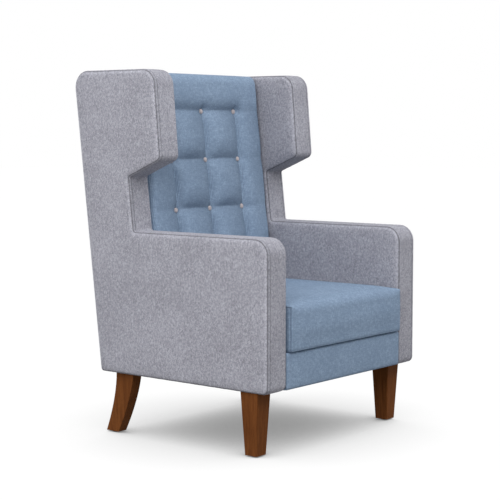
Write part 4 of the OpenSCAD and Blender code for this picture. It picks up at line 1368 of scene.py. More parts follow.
@dataclass
class SoftBlock:
    """A pad or cloth cut to a block: a lattice skin whose edges are rounded and faces worked."""

    name: str
    low: Array
    high: Array
    radius: Array
    counts: tuple[int, int, int]
    finish: Finish
    body: Body
    nodes: tuple[str, ...]
    fill: float = 1.0
    rests_on: tuple[str, ...] = ()
    ROUND_LINES: ClassVar[int] = 7

    def shares(self, p: Array) -> Array:
        """Places as shares of the way from the middle to the faces, from -1 to 1."""
        return np.clip((p - (self.low + self.high) / 2) / ((self.high - self.low) / 2), -1, 1)

    def axis(self, k: int) -> Array:
        """Lattice places along one axis, close together in the rounded ends.

        Args:
            k: Number of the axis.

        Returns:
            The places, from low to high.
        """
        r = float(self.radius[k])
        ends = r * (1 - np.cos(np.linspace(0, math.pi / 2, self.ROUND_LINES)))
        low, high, n = self.low[k], self.high[k], self.counts[k]
        middle = np.linspace(low + r, high - r, n + 1)[1:-1]
        return np.concatenate([low + ends, middle, (high - ends)[::-1]])

    def lattice(self) -> tuple[Array, list[Patch]]:
        """Skin of the lattice.

        Returns:
            The places before rounding, and the quads.
        """
        axes = [self.axis(k) for k in range(3)]
        shape = tuple(len(a) for a in axes)
        ijk = np.indices(shape)
        skin = np.zeros(shape, bool)
        for k in range(3):
            skin |= (ijk[k] == 0) | (ijk[k] == shape[k] - 1)
        number = np.full(shape, -1)
        number[skin] = np.arange(skin.sum())
        flat = np.stack([axes[k][ijk[k][skin]] for k in range(3)], axis=1)
        patches = []
        for k in range(3):
            u, v = np.meshgrid(*(axes[j] for j in range(3) if j != k), indexing="ij")
            for end in (0, -1):
                face = np.take(number, end, axis=k)
                patches.append(grid_patch(face, u, v, flip=(k == 1) == bool(end)))
        return flat, patches

    def radii(self, p: Array) -> Array:
        """Radius of the rounding at each place, along each axis."""
        return np.broadcast_to(self.radius, p.shape)

    def rounded(self, p: Array) -> Array:
        """Pulls the skin of the block on to a block with rounded edges.

        A point in the outer layer goes to the ellipsoid about the nearest point of the inner block.

        Args:
            p: Places on the skin.

        Returns:
            The rounded places.
        """
        r = self.radii(p)
        core = np.clip(p, self.low + r, self.high - r)
        e = (p - core) / np.maximum(r, 1e-9)
        size = np.linalg.norm(e, axis=1, keepdims=True)
        largest = np.abs(e).max(axis=1, keepdims=True)
        return core + np.where(size > 1e-9, e / np.maximum(size, 1e-9) * largest, 0) * r

    def shape(self, p: Array, flat: Array) -> Array:
        """Works the faces: a plain block has a slight unevenness only.

        Args:
            p: The rounded places.
            flat: The places before rounding.

        Returns:
            The worked places.
        """
        lift = 0.0003 * ripple(p, 0.08, 11)
        middle = (self.low + self.high) / 2
        way = np.sign(flat - middle) * (np.abs(flat - middle) > (self.high - self.low) / 2 - 1e-6)
        return p - way * np.abs(lift)[:, None]

    def flat_size(self) -> tuple[float, float]:
        """Width and length of a cloth before it was stretched on."""
        size = self.high - self.low
        return float(size[0]), float(size[1])

    def build(self) -> bpy.types.Object:
        """Returns:
            The piece.
        """
        flat, patches = self.lattice()
        obj = make_object(self.name, self.shape(self.rounded(flat), flat), patches)
        dress(obj, self.finish, self.body, *self.nodes)
        return obj


@dataclass
class RakedBlock(SoftBlock):
    """A block whose Y is the distance in front of the rear line of the chair."""

    def shape(self, p: Array, flat: Array) -> Array:
        """Leans the worked block back along the rear line.

        Args:
            p: The rounded places.
            flat: The places before rounding.

        Returns:
            The places on the chair.
        """
        q = self.worked(p, flat)
        q[:, 1] = PLAN.back_y(q[:, 2]) - q[:, 1]
        return q

    def worked(self, p: Array, flat: Array) -> Array:
        """The faces worked as on a plain block."""
        return super().shape(p, flat)

    def build(self) -> bpy.types.Object:
        """Makes the piece with its faces turned right for the mirrored depth.

        Returns:
            The piece.
        """
        obj = super().build()
        obj.data.flip_normals()
        return obj


@dataclass
class RearCover(RakedBlock):
    """The cloth that closes the rear between the side panels, turned in along its edges."""

    def worked(self, p: Array, flat: Array) -> Array:
        """Swells the cloth slightly over its board, and draws its edges in by e to the minus way.

        Args:
            p: The rounded places.
            flat: The places before rounding.

        Returns:
            The worked places.
        """
        edge = np.minimum.reduce([p[:, 0] - self.low[0], self.high[0] - p[:, 0],
                                  p[:, 2] - self.low[2], self.high[2] - p[:, 2]])
        q = p.copy()
        rear = flat[:, 1] < self.low[1] + 1e-6
        q[:, 1] += np.where(rear, 0.0012 * np.exp(-edge / 0.006) + 0.0004 * ripple(p, 0.2, 5), 0)
        return q

    def flat_size(self) -> tuple[float, float]:
        """Width, and length along the rake."""
        size = self.high - self.low
        return float(size[0]), float(size[2]) / math.cos(PLAN.rake)


# Tufted back


@dataclass(frozen=True)
class PillowShade:
    """Strengths and distances of the painted shade and painted highlight on the pillows."""

    slope: float = 0.72
    slope_start: float = 0.22
    before: float = 0.10
    before_run: float = 0.016
    after: float = 0.40
    after_run: float = 0.012
    line: float = 0.12
    line_w: float = 0.0011
    over: float = 0.34
    over_top_row: float = 0.20
    under: float = 0.06
    cross_run: float = 0.020
    pit: float = 0.55
    pit_w: float = 0.0034
    pit_shift: float = 0.002


class Bend(IntEnum):
    """The parts of the back's profile."""

    FACE = 0
    FRONT = 1
    REAR = 2


@dataclass
class TuftedBack:
    """The blue back: pillows between sewn creases, buttons in pits, and a rounded top."""

    edge_t: float = 0.174
    fuller: float = 0.007
    pillow: float = 0.0225
    crease: float = 0.92
    left_run: float = 0.027
    right_run: float = 0.015
    deeper: float = 1.25
    above_run: float = 0.022
    above_power: float = 1.3
    below_run: float = 0.033
    side_loss: float = 0.82
    side_slope: float = 0.0075
    bow: float = 0.005
    crease_up: float = 0.003
    pit_t: float = 0.1757
    pit_run: float = 0.007
    pleat: float = 0.0008
    pleat_at: float = 0.022
    pleat_w: float = 0.011
    unevenness: float = 0.0006
    col_pitch: float = 0.165
    cols: tuple[float, ...] = (-0.165, 0.0, 0.165)
    low_row: float = 0.533
    row_pitch: float = 0.156
    rows_n: int = 4
    half: float = 0.2896
    edge_run: float = 0.022
    edge_roll: float = 0.35
    edge_roll_run: float = 0.0035
    round_r: float = 0.030
    drop: float = 0.010
    fine: float = 0.0021
    seat_top: float = 0.454
    button_r: float = 0.008
    button_h: float = 0.0051
    button_facets: int = 20
    button_line: tuple[tuple[float, float], ...] = (
        (0.80, -0.0004), (0.97, 0.0001), (1.0, 0.0009), (0.975, 0.0019), (0.88, 0.0031),
        (0.70, 0.0041), (0.44, 0.0047), (0.18, 0.0050))
    foam_t: float = 0.150
    foam_half: float = 0.290
    foam_rear: float = 0.0485
    foam_r: float = 0.006
    foam_drop: float = 0.016
    rail_share: float = 0.78
    rail_t: float = 0.049
    rear_t: float = 0.006
    shade: PillowShade = PillowShade()

    @property
    def rows(self) -> Array:
        """Heights of the button rows."""
        return self.low_row + self.row_pitch * np.arange(self.rows_n)

    def stations(self, low: float, high: float, marks: Array, coarse: float,
                 reach: float) -> Array:
        """Grid lines that stand close together near the marks.

        The spacing goes smoothly from fine at a mark to coarse beyond its reach.

        Args:
            low: First line.
            high: Last line.
            marks: Where the lines stand close.
            coarse: Spacing far from the marks.
            reach: Width of the change, which starts at 0.6 of it.

        Returns:
            The places of the lines.
        """
        steps = 4000
        fill = np.linspace(low, high, steps + 1)
        near = np.min(np.abs(fill[:, None] - np.asarray(marks)[None]), axis=1)
        gap = self.fine + (coarse - self.fine) * smoothstep((near - reach * 0.6) / reach)
        count = np.concatenate([[0], np.cumsum((high - low) / steps / gap)[:-1]])
        n = int(math.ceil(count[-1]))
        return np.interp(np.linspace(0, count[-1], n + 1), count, fill)

    def edge_rise(self, x: Array) -> Array:
        """Rise from the side edges: a parabola with a tight roll at its start."""
        e = np.clip(self.half - np.abs(x), 0, None)
        roll = self.edge_roll * np.exp(-e / self.edge_roll_run)
        return 1 - (1 - np.clip(e / self.edge_run, 0, 1)) ** 2 - roll

    def from_column(self, x: Array) -> Array:
        """Distance across from the nearest column of buttons."""
        cx = np.array(self.cols)
        return x - cx[np.argmin(np.abs(x[..., None] - cx), axis=-1)]

    def from_crease(self, x: Array, z: Array) -> Array:
        """Distance across from the nearest upright crease.

        The creases bow sideways between the buttons by half a sine wave.

        Args:
            x: Places across.
            z: Heights.

        Returns:
            The distance, less than 0 on the sitter's right of the crease.
        """
        phase = np.clip((z - self.rows[0]) / self.row_pitch, -1, self.rows_n - 1)
        return self.from_column(x - self.bow * np.abs(np.sin(math.pi * phase)))

    def from_button(self, x: Array, z: Array) -> tuple[Array, Array, Array]:
        """Distances across and up from the nearest button, and the number of its row."""
        row = np.argmin(np.abs(z[..., None] - self.rows), axis=-1)
        return self.from_column(x), z - self.rows[row], row

    def side_fade(self, x: Array) -> Array:
        """Share of a cross crease that is left beyond the outer columns."""
        return 1 - self.side_loss * smoothstep((np.abs(x) - self.cols[-1]) / 0.035)

    def shading(self, x: Array, z: Array) -> Array:
        """How dark or pale the cloth of the face is drawn.

        It gets a painted highlight just past an upright crease, and painted shade that grows over
        the pillow up to the next one. It gets painted shade where a pillow hangs over the cross
        crease below it, and round the buttons.

        Args:
            x: Places across.
            z: Heights.

        Returns:
            From 0 to 1 where it is dark, and from 0 to -1 where it is pale.
        """
        s = self.shade
        px = self.from_crease(x, z)
        bx, dz, _ = self.from_button(x, z)
        cz = dz - self.crease_up
        share = np.where(px < 0, 1 + px / self.col_pitch, px / self.col_pitch)
        ramp = s.slope * np.clip(share, 0, 1) ** 0.8 - s.slope_start
        beside = np.where(px < 0, s.before * np.exp(px / s.before_run),
                          -s.after * np.exp(-px / s.after_run))
        upright = (ramp + beside + s.line * bell(px, s.line_w)) * smoothstep(
            1 - (z - self.rows[-1]) / 0.03)
        over = np.where(z < self.rows[-1], s.over, s.over_top_row)
        over = over * np.exp(-np.clip(cz, 0, None) / s.cross_run)
        under = s.under * np.exp(np.clip(cz, None, 0) / s.cross_run)
        dark = upright + np.where(cz > 0, over, under) * self.side_fade(x)
        away = np.hypot(bx + s.pit_shift, dz + s.pit_shift) - self.button_r
        return np.maximum(dark, s.pit * bell(away, s.pit_w))

    def thickness(self, x: Array, z: Array) -> Array:
        """Depth of the face in front of the rear line.

        Each pillow is the product of two rises, 1 less e to the minus distance over run. Across and
        upwards it rises steeply from one crease, over which it hangs, and falls gently to the next.
        Pits and short pleats are added at the buttons. The whole face is a little fuller above the
        seat.

        Args:
            x: Places across.
            z: Heights.

        Returns:
            The depth.
        """
        top_row = self.rows[-1]
        rise = self.edge_rise(x) * smoothstep((z - self.seat_top + 0.045) / 0.09)

        def soft(d: Array, e: float) -> Array:
            """Size of d with its corner at 0 rounded off."""
            return np.sqrt(d * d + e * e) - e

        px = self.from_crease(x, z)
        bx, dz, row = self.from_button(x, z)
        cz = dz - self.crease_up
        fade_up = smoothstep(1 - (z - top_row) / 0.013)
        side_run = np.where(px > 0, self.right_run, self.left_run)
        up = self.crease * self.deeper * fade_up * np.exp(-soft(px, 0.0010) / side_run)
        run = np.where(cz > 0, self.above_run, self.below_run)
        power = np.where(cz > 0, self.above_power, 1.0)
        cross = self.crease * self.side_fade(x) * np.exp(-(soft(cz, 0.0016) / run) ** power)
        base = self.edge_t + self.fuller * smoothstep((z - self.seat_top + 0.02) / 0.12)
        base = base - self.side_slope * smoothstep((np.abs(x) - self.cols[-1]) / 0.11)
        t = base + self.pillow * rise * (1 - up) * (1 - cross)
        r = np.hypot(bx, dz)
        pit = np.exp(-np.maximum(r - self.button_r * 0.95, 0) / self.pit_run)
        t = t + (self.pit_t - t) * np.clip(pit, 0, 1) * (z > self.low_row - 0.08)
        angle = np.arctan2(dz, bx)
        fold = np.sin(angle * 5 + 0.7 * np.sin(row * 2.1 + x * 12))
        fold = fold * bell(r - self.pleat_at, self.pleat_w)
        above_top = smoothstep((z - top_row) / 0.012)
        return t + self.pleat * fold * rise * (1 - 0.85 * above_top)

    def profile(self) -> tuple[Array, Array]:
        """Stations up the face, over the top and down to the rear.

        Returns:
            The part of each station, and its height on the face or its angle on the rounds.
        """
        face = self.stations(PLAN.deck_z + 0.0004, PLAN.back_z - self.round_r, self.rows, 0.0065,
                             0.026)
        front = np.radians(np.linspace(0, 90, 16))[1:]
        rear = np.radians(np.linspace(90, -math.degrees(PLAN.rake), 20))[1:]
        part = np.repeat([Bend.FACE, Bend.FRONT, Bend.REAR], [len(face), len(front), len(rear)])
        return part, np.concatenate([face, front, rear])

    def outside(self, x: Array, part: Array, value: Array) -> Array:
        """Places of the cover's outside.

        The front round is a quarter circle over the face, and the rear round is the arc at the top
        of the rear line. Both fall towards the sides and widen to the crown of the side panels.

        Args:
            x: Places across.
            part: Part of the profile.
            value: Height on the face, or angle on the rounds.

        Returns:
            The places, in rows of stations.
        """
        parts = [part == Bend.FACE, part == Bend.FRONT]
        z_round = PLAN.back_z - self.round_r
        fall = self.drop * (1 - np.clip(self.edge_rise(x), 0, 1))
        z0 = np.where(parts[0], value, z_round)
        t = self.thickness(x, z0)
        z1 = z_round + (self.round_r - fall) * np.sin(value)
        y1 = PLAN.back_y(z1) - t + self.round_r * (1 - np.cos(value))
        fall = fall * np.clip(np.sin(value), 0, None)
        centre, r = self.rear_centre(), PLAN.back_top_r - fall
        y = np.select(parts, [PLAN.back_y(z0) - t, y1], centre[0] + r * np.cos(value))
        z = np.select(parts, [z0, z1], centre[1] + r * np.sin(value))
        depth = np.select(parts, [1.0, PLAN.back_z - z1], fall)
        crown = PLAN.inner_crown * (1 - (1 - np.clip((depth + 0.001) / 0.030, 0, 1)) ** 2)
        wide = (PLAN.seam_in - crown - 0.0009) / self.half
        return np.stack([x * np.where(parts[0], 1.0, np.clip(wide, None, 1.03)), y, z], axis=-1)

    def cover(self) -> bpy.types.Object:
        """Makes the tufted cover as a closed skin: outside, underside, and a rim between them.

        Returns:
            The cover.
        """
        marks = np.array([-self.half, *self.cols, self.half]) + self.bow / 2
        line = self.stations(-self.half, self.half, marks, 0.0070, 0.030)
        part, value = self.profile()
        x, v = np.meshgrid(line, value)
        k = np.repeat(part[:, None], len(line), axis=1)
        face = self.outside(x, k, v)
        # Painted shade and painted highlight of the pillows, on the face only
        dark = self.shading(x, face[..., 2]) * (k == Bend.FACE)
        under = face.copy()
        under[..., 1], under[..., 2] = (a[:, None] for a in self.under(part))
        lift = self.unevenness * ripple(face.reshape(-1, 3), 0.10, 21).reshape(x.shape)
        face[..., 1] -= lift * (k == Bend.FACE)
        a = np.arange(x.size).reshape(x.shape)
        b = a + x.size
        step = np.linalg.norm(np.diff(face[:, len(line) // 2], axis=0), axis=1)
        run = np.repeat(np.concatenate([[0], np.cumsum(step)])[:, None], len(line), axis=1)

        def rim(first: Array, second: Array) -> Patch:
            """Joins two edges of the skin, with 3 mm of texture to a quad."""
            u = np.repeat(np.arange(len(first))[None] * 0.003, 2, axis=0)
            return grid_patch(np.stack([first, second]), u, np.array([[0.0], [0.1]]) + 0 * u)

        patches = [
            grid_patch(a, x, run, flip=True), grid_patch(b, x, run),
            rim(a[0], b[0]), rim(b[-1], a[-1]), rim(b[:, 0], a[:, 0]), rim(a[:, -1], b[:, -1]),
        ]
        points = np.concatenate([face.reshape(-1, 3), under.reshape(-1, 3)])
        # The seams array holds the pillows' painted shade and highlight here; the underside has none
        seams = np.concatenate([dark.ravel(), np.zeros(x.size)])
        obj = make_object("back_tufted_cover", points, patches, {"seam": seams})
        dress(obj, Finish.BLUE_CLOTH, Body.CHAIR, "back_cushion_cover")
        return obj

    def rear_centre(self) -> tuple[float, float]:
        """Centre of the arc at the top of the rear line, in y and z."""
        z = PLAN.back_z - PLAN.back_top_r
        return float(PLAN.back_y(z)) - PLAN.back_top_r / math.cos(PLAN.rake), z

    def under(self, part: Array) -> tuple[Array, Array]:
        """Line of the underside against the foam and the frame.

        Args:
            part: Part of the profile of each station.

        Returns:
            The y and z of as many stations.
        """
        low, pad = PLAN.deck_z + 0.0004, PLAN.back_z - self.foam_drop
        rail = PLAN.back_z - PLAN.back_top_r * self.rail_share
        end = self.rear_centre()[1] + PLAN.back_top_r * math.sin(-PLAN.rake)
        t = np.repeat([self.foam_t, self.rail_t, self.rear_t], 2)
        z = np.array([low, pad, pad, rail + 0.001, rail + 0.001, end])
        at = np.array([0, np.mean(part == Bend.FACE), 0.80, 0.85, 0.93, 1.0])
        run = np.linspace(0, 1, len(part))
        zz = np.interp(run, at, z)
        return PLAN.back_y(zz) - np.interp(run, at, t), zz

    def buttons(self) -> bpy.types.Object:
        """Makes the covered buttons: domes of revolution over a short rim, square to the rake.

        Returns:
            All buttons as one object.
        """
        r, h = np.array(self.button_line).T[:, :, None, None]
        rings, n = len(r), self.button_facets
        a = np.linspace(0, 2 * math.pi, n, endpoint=False)[None, :, None]
        forward = np.array([0, -math.cos(PLAN.rake), math.sin(PLAN.rake)])
        upward = np.array([0, math.sin(PLAN.rake), math.cos(PLAN.rake)])
        across = np.array([1.0, 0, 0])
        dome = h * forward + r * self.button_r * (np.cos(a) * across + np.sin(a) * upward)
        tips = np.stack([forward * h[0, 0, 0], forward * self.button_h])
        local = np.concatenate([dome.reshape(-1, 3), tips])
        index = np.arange(rings * n).reshape(rings, n)
        base = np.full((1, n + 1), rings * n)
        index = np.concatenate([base, np.concatenate([index, index[:, :1]], axis=1), base + 1])
        u, v = np.meshgrid(np.linspace(0, 0.05, len(index)), np.linspace(0, 0.05, n + 1),
                           indexing="ij")
        patch = grid_patch(index, u, v, flip=True)
        places = [(x, float(PLAN.back_y(z)) - self.pit_t + 0.0004, z)
                  for x in self.cols for z in self.rows]
        points = np.concatenate([local + np.array(at) for at in places])
        patches = [Patch(patch.quads + len(local) * k, patch.uv) for k in range(len(places))]
        obj = make_object("back_button_domes", points, patches)
        return dress(obj, Finish.BUTTON_CLOTH, Body.CHAIR, "back_buttons")

    def build(self) -> list[bpy.types.Object]:
        """Makes the foam, the cover and the buttons of the back.

        Returns:
            The pieces.
        """
        foam = RakedBlock(
            "back_foam_block", np.array([-self.foam_half, self.foam_rear, PLAN.deck_z + 0.0005]),
            np.array([self.foam_half, self.foam_t - 0.0005, PLAN.back_z - 0.0165]),
            np.full(3, self.foam_r), (30, 6, 40), Finish.FOAM, Body.CHAIR, ("back_foam",))
        return [foam.build(), self.cover(), self.buttons()]


# Seat


@dataclass
class WaterfallBlock(SoftBlock):
    """A block whose rounding grows along the front of its top."""

    crown: float = 0.014
    front_y: float = 0.022
    front_z: float = 0.018
    front_depth: float = 0.12

    def radii(self, p: Array) -> Array:
        """The plain radius, and a waterfall along the top of the front between the corners.

        Args:
            p: Places on the skin.

        Returns:
            The radius of each place, along each axis.
        """
        front = smoothstep(1 - (p[:, 1] - self.low[1]) / self.front_depth)
        top = smoothstep((p[:, 2] - self.low[2]) / (self.high[2] - self.low[2]))
        along = front * top * (1 - np.abs(self.shares(p)[:, 0]) ** 14)
        r = np.repeat(self.radius[None], len(p), axis=0)
        r[:, 1] += self.front_y * along
        r[:, 2] += self.front_z * along
        return r

    def shape(self, p: Array, flat: Array) -> Array:
        """Raises the crown: the product of 1 less high powers of both shares from the middle.

        Args:
            p: The rounded places.
            flat: The places before rounding; not used.

        Returns:
            The worked places.
        """
        s = self.shares(p)
        q = p.copy()
        up = smoothstep((s[:, 2] + 0.1) / 1.1)
        q[:, 2] += self.crown * up * (1 - np.abs(s[:, 0]) ** 5) * (1 - np.abs(s[:, 1]) ** 6)
        q += 0.0005 * ripple(p, 0.07, 31)[:, None] * (1 - np.abs(s) ** 8)
        return q


@dataclass
class SeatCushion:
    """The loose cushion: a top that wraps over the front, and side gussets with sewn seams."""

    low: Array = field(default_factory=lambda: np.array([-0.2895, -0.3855, 0.3036]))
    high: Array = field(default_factory=lambda: np.array([0.2895, 0.1183, 0.440]))
    radius: Array = field(default_factory=lambda: np.array([0.0055, 0.0065, 0.0065]))
    core_radius: Array = field(default_factory=lambda: np.array([0.016, 0.022, 0.022]))
    crown: float = 0.014
    swell: float = 0.005
    frames: int = 20
    pressure: float = 4.0
    voxel: float = 0.005
    cell: float = 0.012
    seam_in: float = 0.0052
    groove: float = 0.0022
    groove_w: float = 0.0020
    line_w: float = 0.0011
    low_seam: float = 0.35
    cover_t: float = 0.006
    cover_top: float = 0.002

    @property
    def inset(self) -> float:
        """How much smaller the cushion starts than the space it fills."""
        return 0.001

    def start(self) -> bpy.types.Object:
        """Makes the shape before it is filled, with less crown, because the filling adds to it.

        Returns:
            The cover.
        """
        crown = self.crown - self.swell + self.inset
        waterfall = WaterfallBlock(
            "seat_cushion_sewn", self.low + self.inset, self.high - self.inset, self.radius,
            (72, 62, 14), Finish.BLUE_CLOTH, Body.CUSHION, ("seat_cushion_cover",), 0.85,
            crown=crown)
        return waterfall.build()

    def pressed(self, obj: bpy.types.Object) -> tuple[Array, Array]:
        """Simulates the filling: a remeshed copy as cloth under pressure, without gravity.

        Args:
            obj: The cushion before it is filled.

        Returns:
            The points of the copy, and how far each of them went out along its normal.
        """
        copy = bpy.data.objects.new("cushion_under_pressure", obj.data.copy())
        bpy.context.scene.collection.objects.link(copy)
        remesh = copy.modifiers.new("remesh", "REMESH")
        remesh.mode = "VOXEL"
        remesh.voxel_size = self.voxel
        bpy.context.view_layer.objects.active = copy
        bpy.ops.object.modifier_apply(modifier=remesh.name)
        start, normal = read_points(copy), read_normals(copy)
        cloth = copy.modifiers.new("cloth", "CLOTH")
        cloth.settings.use_pressure = True
        cloth.settings.uniform_pressure_force = self.pressure
        cloth.settings.effector_weights.gravity = 0.0
        cloth.settings.quality = 5
        scene = bpy.context.scene
        for number in range(1, self.frames + 1):
            scene.frame_set(number)
        moved = read_points(copy.evaluated_get(bpy.context.evaluated_depsgraph_get()))
        scene.frame_set(1)
        mesh = copy.data
        bpy.data.objects.remove(copy)
        bpy.data.meshes.remove(mesh)
        return start, ((moved - start) * normal).sum(axis=1)

    def fill(self, obj: bpy.types.Object) -> None:
        """Swells the sewn cover as the simulation went, up to a cap; the seams hold their place.

        The outward way goes into a grid of cells, is averaged and blurred there, and is read back
        at the cover's own points, so that the seams stay sharp. It approaches the cap as 1 less e
        to the minus way over cap. The sides and the rear give way least, and the underside rests.

        Args:
            obj: The cover, whose points are moved.
        """
        at, way = self.pressed(obj)
        way = self.swell * (1 - np.exp(-np.clip(way, 0, None) / self.swell))
        low = self.low - 3 * self.cell
        shape = tuple(((self.high - low) / self.cell + 6).astype(int))
        index = np.ravel_multi_index(tuple(((at - low) / self.cell).astype(int).T), shape)
        total, count = (np.bincount(index, weight, math.prod(shape)).reshape(shape)
                        for weight in (way, np.ones(len(way))))
        for k in (0, 1, 2, 0, 1, 2):
            total, count = (0.5 * g + 0.25 * (np.roll(g, 1, k) + np.roll(g, -1, k))
                            for g in (total, count))
        grid = total / np.maximum(count, 1e-6)
        p, normal = read_points(obj), read_normals(obj)
        q = (p - low) / self.cell - 0.5
        base = np.floor(q).astype(int)
        push = np.zeros(len(p))
        for corner in np.ndindex(2, 2, 2):
            share = np.prod(np.where(corner, q - base, 1 - (q - base)), axis=1)
            push += share * grid[tuple((base + corner).T)]
        give = (0.25 * np.abs(normal[:, 0]) + np.clip(-normal[:, 1], 0, 1)
                + 0.25 * np.clip(normal[:, 1], 0, 1) + np.clip(normal[:, 2], 0, 1))
        write_points(obj, p + normal * (push * give)[:, None])
        LOG.info("cushion: filled, %.1f mm at most", 1000 * float((push * give).max()))

    def sew(self, obj: bpy.types.Object) -> None:
        """Draws the seams into the cover: a groove that goes as a Gauss bell of the distance.

        The seams run round each side gusset, just inside its edges, and round the underside.

        Args:
            obj: The cover, whose points are moved and marked.
        """
        p, normal = read_points(obj), read_normals(obj)
        on_side = smoothstep((np.abs(normal[:, 0]) - 0.30) / 0.3)
        walls = 1 - smoothstep((np.abs(normal[:, 2]) - 0.55) / 0.25)
        d_top = p[:, 2] - (self.high[2] - self.inset - self.seam_in)
        d_front = p[:, 1] - (self.low[1] + self.inset + self.seam_in * 0.75)
        d_low = p[:, 2] - (self.low[2] + self.inset + self.seam_in)

        def seams(width: float) -> Array:
            """Bell of the distance from the nearest seam."""
            return np.maximum.reduce([
                on_side * bell(d_top, width),
                on_side * bell(d_front, width) * (d_top < 0.004),
                self.low_seam * walls * bell(d_low, width)])

        write_points(obj, p - normal * (self.groove * seams(self.groove_w))[:, None])
        # Dark seam lines: the seams, with painted shade in their grooves
        mark_vertices(obj, "seam", seams(self.line_w))

    def build(self) -> list[bpy.types.Object]:
        """Makes the cushion, its foam and its seams.

        Returns:
            The pieces.
        """
        obj = self.start()
        self.fill(obj)
        bpy.context.view_layer.objects.active = obj
        subdivide = obj.modifiers.new("fine", "SUBSURF")
        subdivide.levels = subdivide.render_levels = 1
        bpy.ops.object.modifier_apply(modifier=subdivide.name)
        self.sew(obj)
        project_uv(obj)
        inner = np.array([self.cover_t, self.cover_t, self.cover_top])
        foam = SoftBlock(
            "seat_cushion_core", self.low + self.cover_t, self.high - inner, self.core_radius,
            (30, 26, 6), Finish.FOAM, Body.CUSHION, ("seat_cushion_foam",))
        return [obj, foam.build()]


@dataclass
class Apron(SoftBlock):
    """The padded front below the cushion, rounded along its front edges only."""

    rear_r: float = 0.001
    swell: float = 0.0015

    def radii(self, p: Array) -> Array:
        """The plain radius at the front, going down to a small one behind it.

        Args:
            p: Places on the skin.

        Returns:
            The radius of each place, along each axis.
        """
        front = 1 - smoothstep((p[:, 1] - self.low[1]) / 0.016)
        r = np.repeat(self.radius[None], len(p), axis=0)
        for k in (0, 2):
            r[:, k] = self.rear_r + (r[:, k] - self.rear_r) * front
        return r

    def shape(self, p: Array, flat: Array) -> Array:
        """Swells the front slightly, and widens the ends into the crown of the side panels.

        The swell is 1 less the fourth power of the share from the middle.

        Args:
            p: The rounded places.
            flat: The places before rounding.

        Returns:
            The worked places.
        """
        s = self.shares(p)
        q = p.copy()
        front = flat[:, 1] < self.low[1] + 1e-6
        swell = self.swell * (1 - s[:, 2] ** 4) * (1 - s[:, 0] ** 8)
        q[:, 1] -= np.where(front, swell + 0.0004 * ripple(p, 0.12, 17), 0)
        into = np.minimum(np.clip(p[:, 1] + PLAN.y_mid, 0, 1), np.clip(p[:, 2] - PLAN.body_z, 0, 1))
        half = PLAN.seam_in - SidePanel(Side.LEFT).face_height(into, PLAN.inner_crown) - 0.0006
        q[:, 0] *= half / self.high[0]
        return q


@dataclass
class SeatBase:
    """The padded and covered parts of the seat box, and the cloth of the rear."""

    apron_hang: float = 0.003
    apron_radius: Array = field(default_factory=lambda: np.array([0.010, 0.009, 0.009]))
    pad_gap: float = 0.0004
    pad_r: float = 0.004
    deck_r: float = 0.0009
    dust_r: float = 0.0004
    rear_half: float = 0.2968
    rear_t: float = 0.0019
    rear_top: float = 1.0668
    rear_radius: Array = field(default_factory=lambda: np.array([0.0016, 0.0009, 0.0016]))

    def build(self) -> list[bpy.types.Object]:
        """Makes the apron, the pad and the cloths.

        Returns:
            The pieces.
        """
        apron, pad, deck, dust = (
            [np.array(corner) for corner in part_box(node)]
            for node in ("apron_cover", "deck_pad", "deck_cover", "dust_cover"))
        apron[0][2] -= self.apron_hang
        pad[1][2] -= self.pad_gap
        blocks = [
            Apron("seat_apron", *apron, self.apron_radius, (50, 3, 12), Finish.BLUE_CLOTH,
                  Body.CHAIR, ("apron_cover", "apron_pad"), 0.9),
            SoftBlock("deck_wadding", *pad, np.full(3, self.pad_r), (24, 20, 2), Finish.WADDING,
                      Body.CHAIR, ("deck_pad",), 0.9),
            SoftBlock("deck_lining_cloth", *deck, np.full(3, self.deck_r), (50, 44, 1),
                      Finish.DECK_CLOTH, Body.CHAIR, ("deck_cover",), rests_on=("deck_wadding",)),
            SoftBlock("seat_dust_cloth", *dust, np.full(3, self.dust_r), (50, 50, 1),
                      Finish.DUST_CLOTH, Body.CHAIR, ("dust_cover",),
                      rests_on=("seat_front_rail", "seat_rear_rail", "seat_side_rails")),
            RearCover("back_rear_cloth", np.array([-self.rear_half, 0.0, PLAN.body_z + 0.0003]),
                      np.array([self.rear_half, self.rear_t, self.rear_top]), self.rear_radius,
                      (60, 1, 90), Finish.GREY_CLOTH, Body.CHAIR, ("back_outer_cover",),
                      rests_on=("back_board",)),
        ]
        pieces = [block.build() for block in blocks]
        for obj in pieces:
            project_uv(obj)
        return pieces


# The carried-over timber, steel and plastic


@dataclass
class HardParts:
    """CAD nodes that keep their meshes and get a finish, by how their names start."""

    finishes: dict[Finish, tuple[str, ...]] = field(default_factory=lambda: {
        Finish.FRAME_WOOD: (
            "side_frame", "seat_front_rail", "seat_rear_rail", "seat_side_rails",
            "seat_corner_blocks", "back_stiles", "back_top_rail", "back_middle_rail",
            "back_lower_rail"),
        Finish.BOARD: ("back_board",),
        Finish.WALNUT: ("front_leg", "rear_leg"),
        Finish.SPRING_STEEL: ("seat_springs",),
        Finish.ZINC_STEEL: ("spring_clips", "side_bolts", "side_tee_nuts", "leg_plates",
                            "leg_plate_screws", "leg_bolts"),
        Finish.GLIDE_PLASTIC: ("leg_glides",),
        Finish.ZIP_PLASTIC: ("seat_cushion_zip",),
        Finish.TOGGLE_PLASTIC: ("twine_toggles",),
        Finish.TWINE: ("button_twines",),
        Finish.WEBBING: ("back_webbing",),
    })

    def build(self) -> None:
        """Gives each node its finish through its material slots."""
        for name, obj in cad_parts.items():
            for finish, starts in self.finishes.items():
                if name.startswith(starts):
                    if not obj.data.materials:
                        obj.data.materials.append(None)
                    for k in range(len(obj.data.materials)):
                        obj.data.materials[k] = finish.material()
                    LOG.info("%s: %s", name, finish.value.name)


# Stage


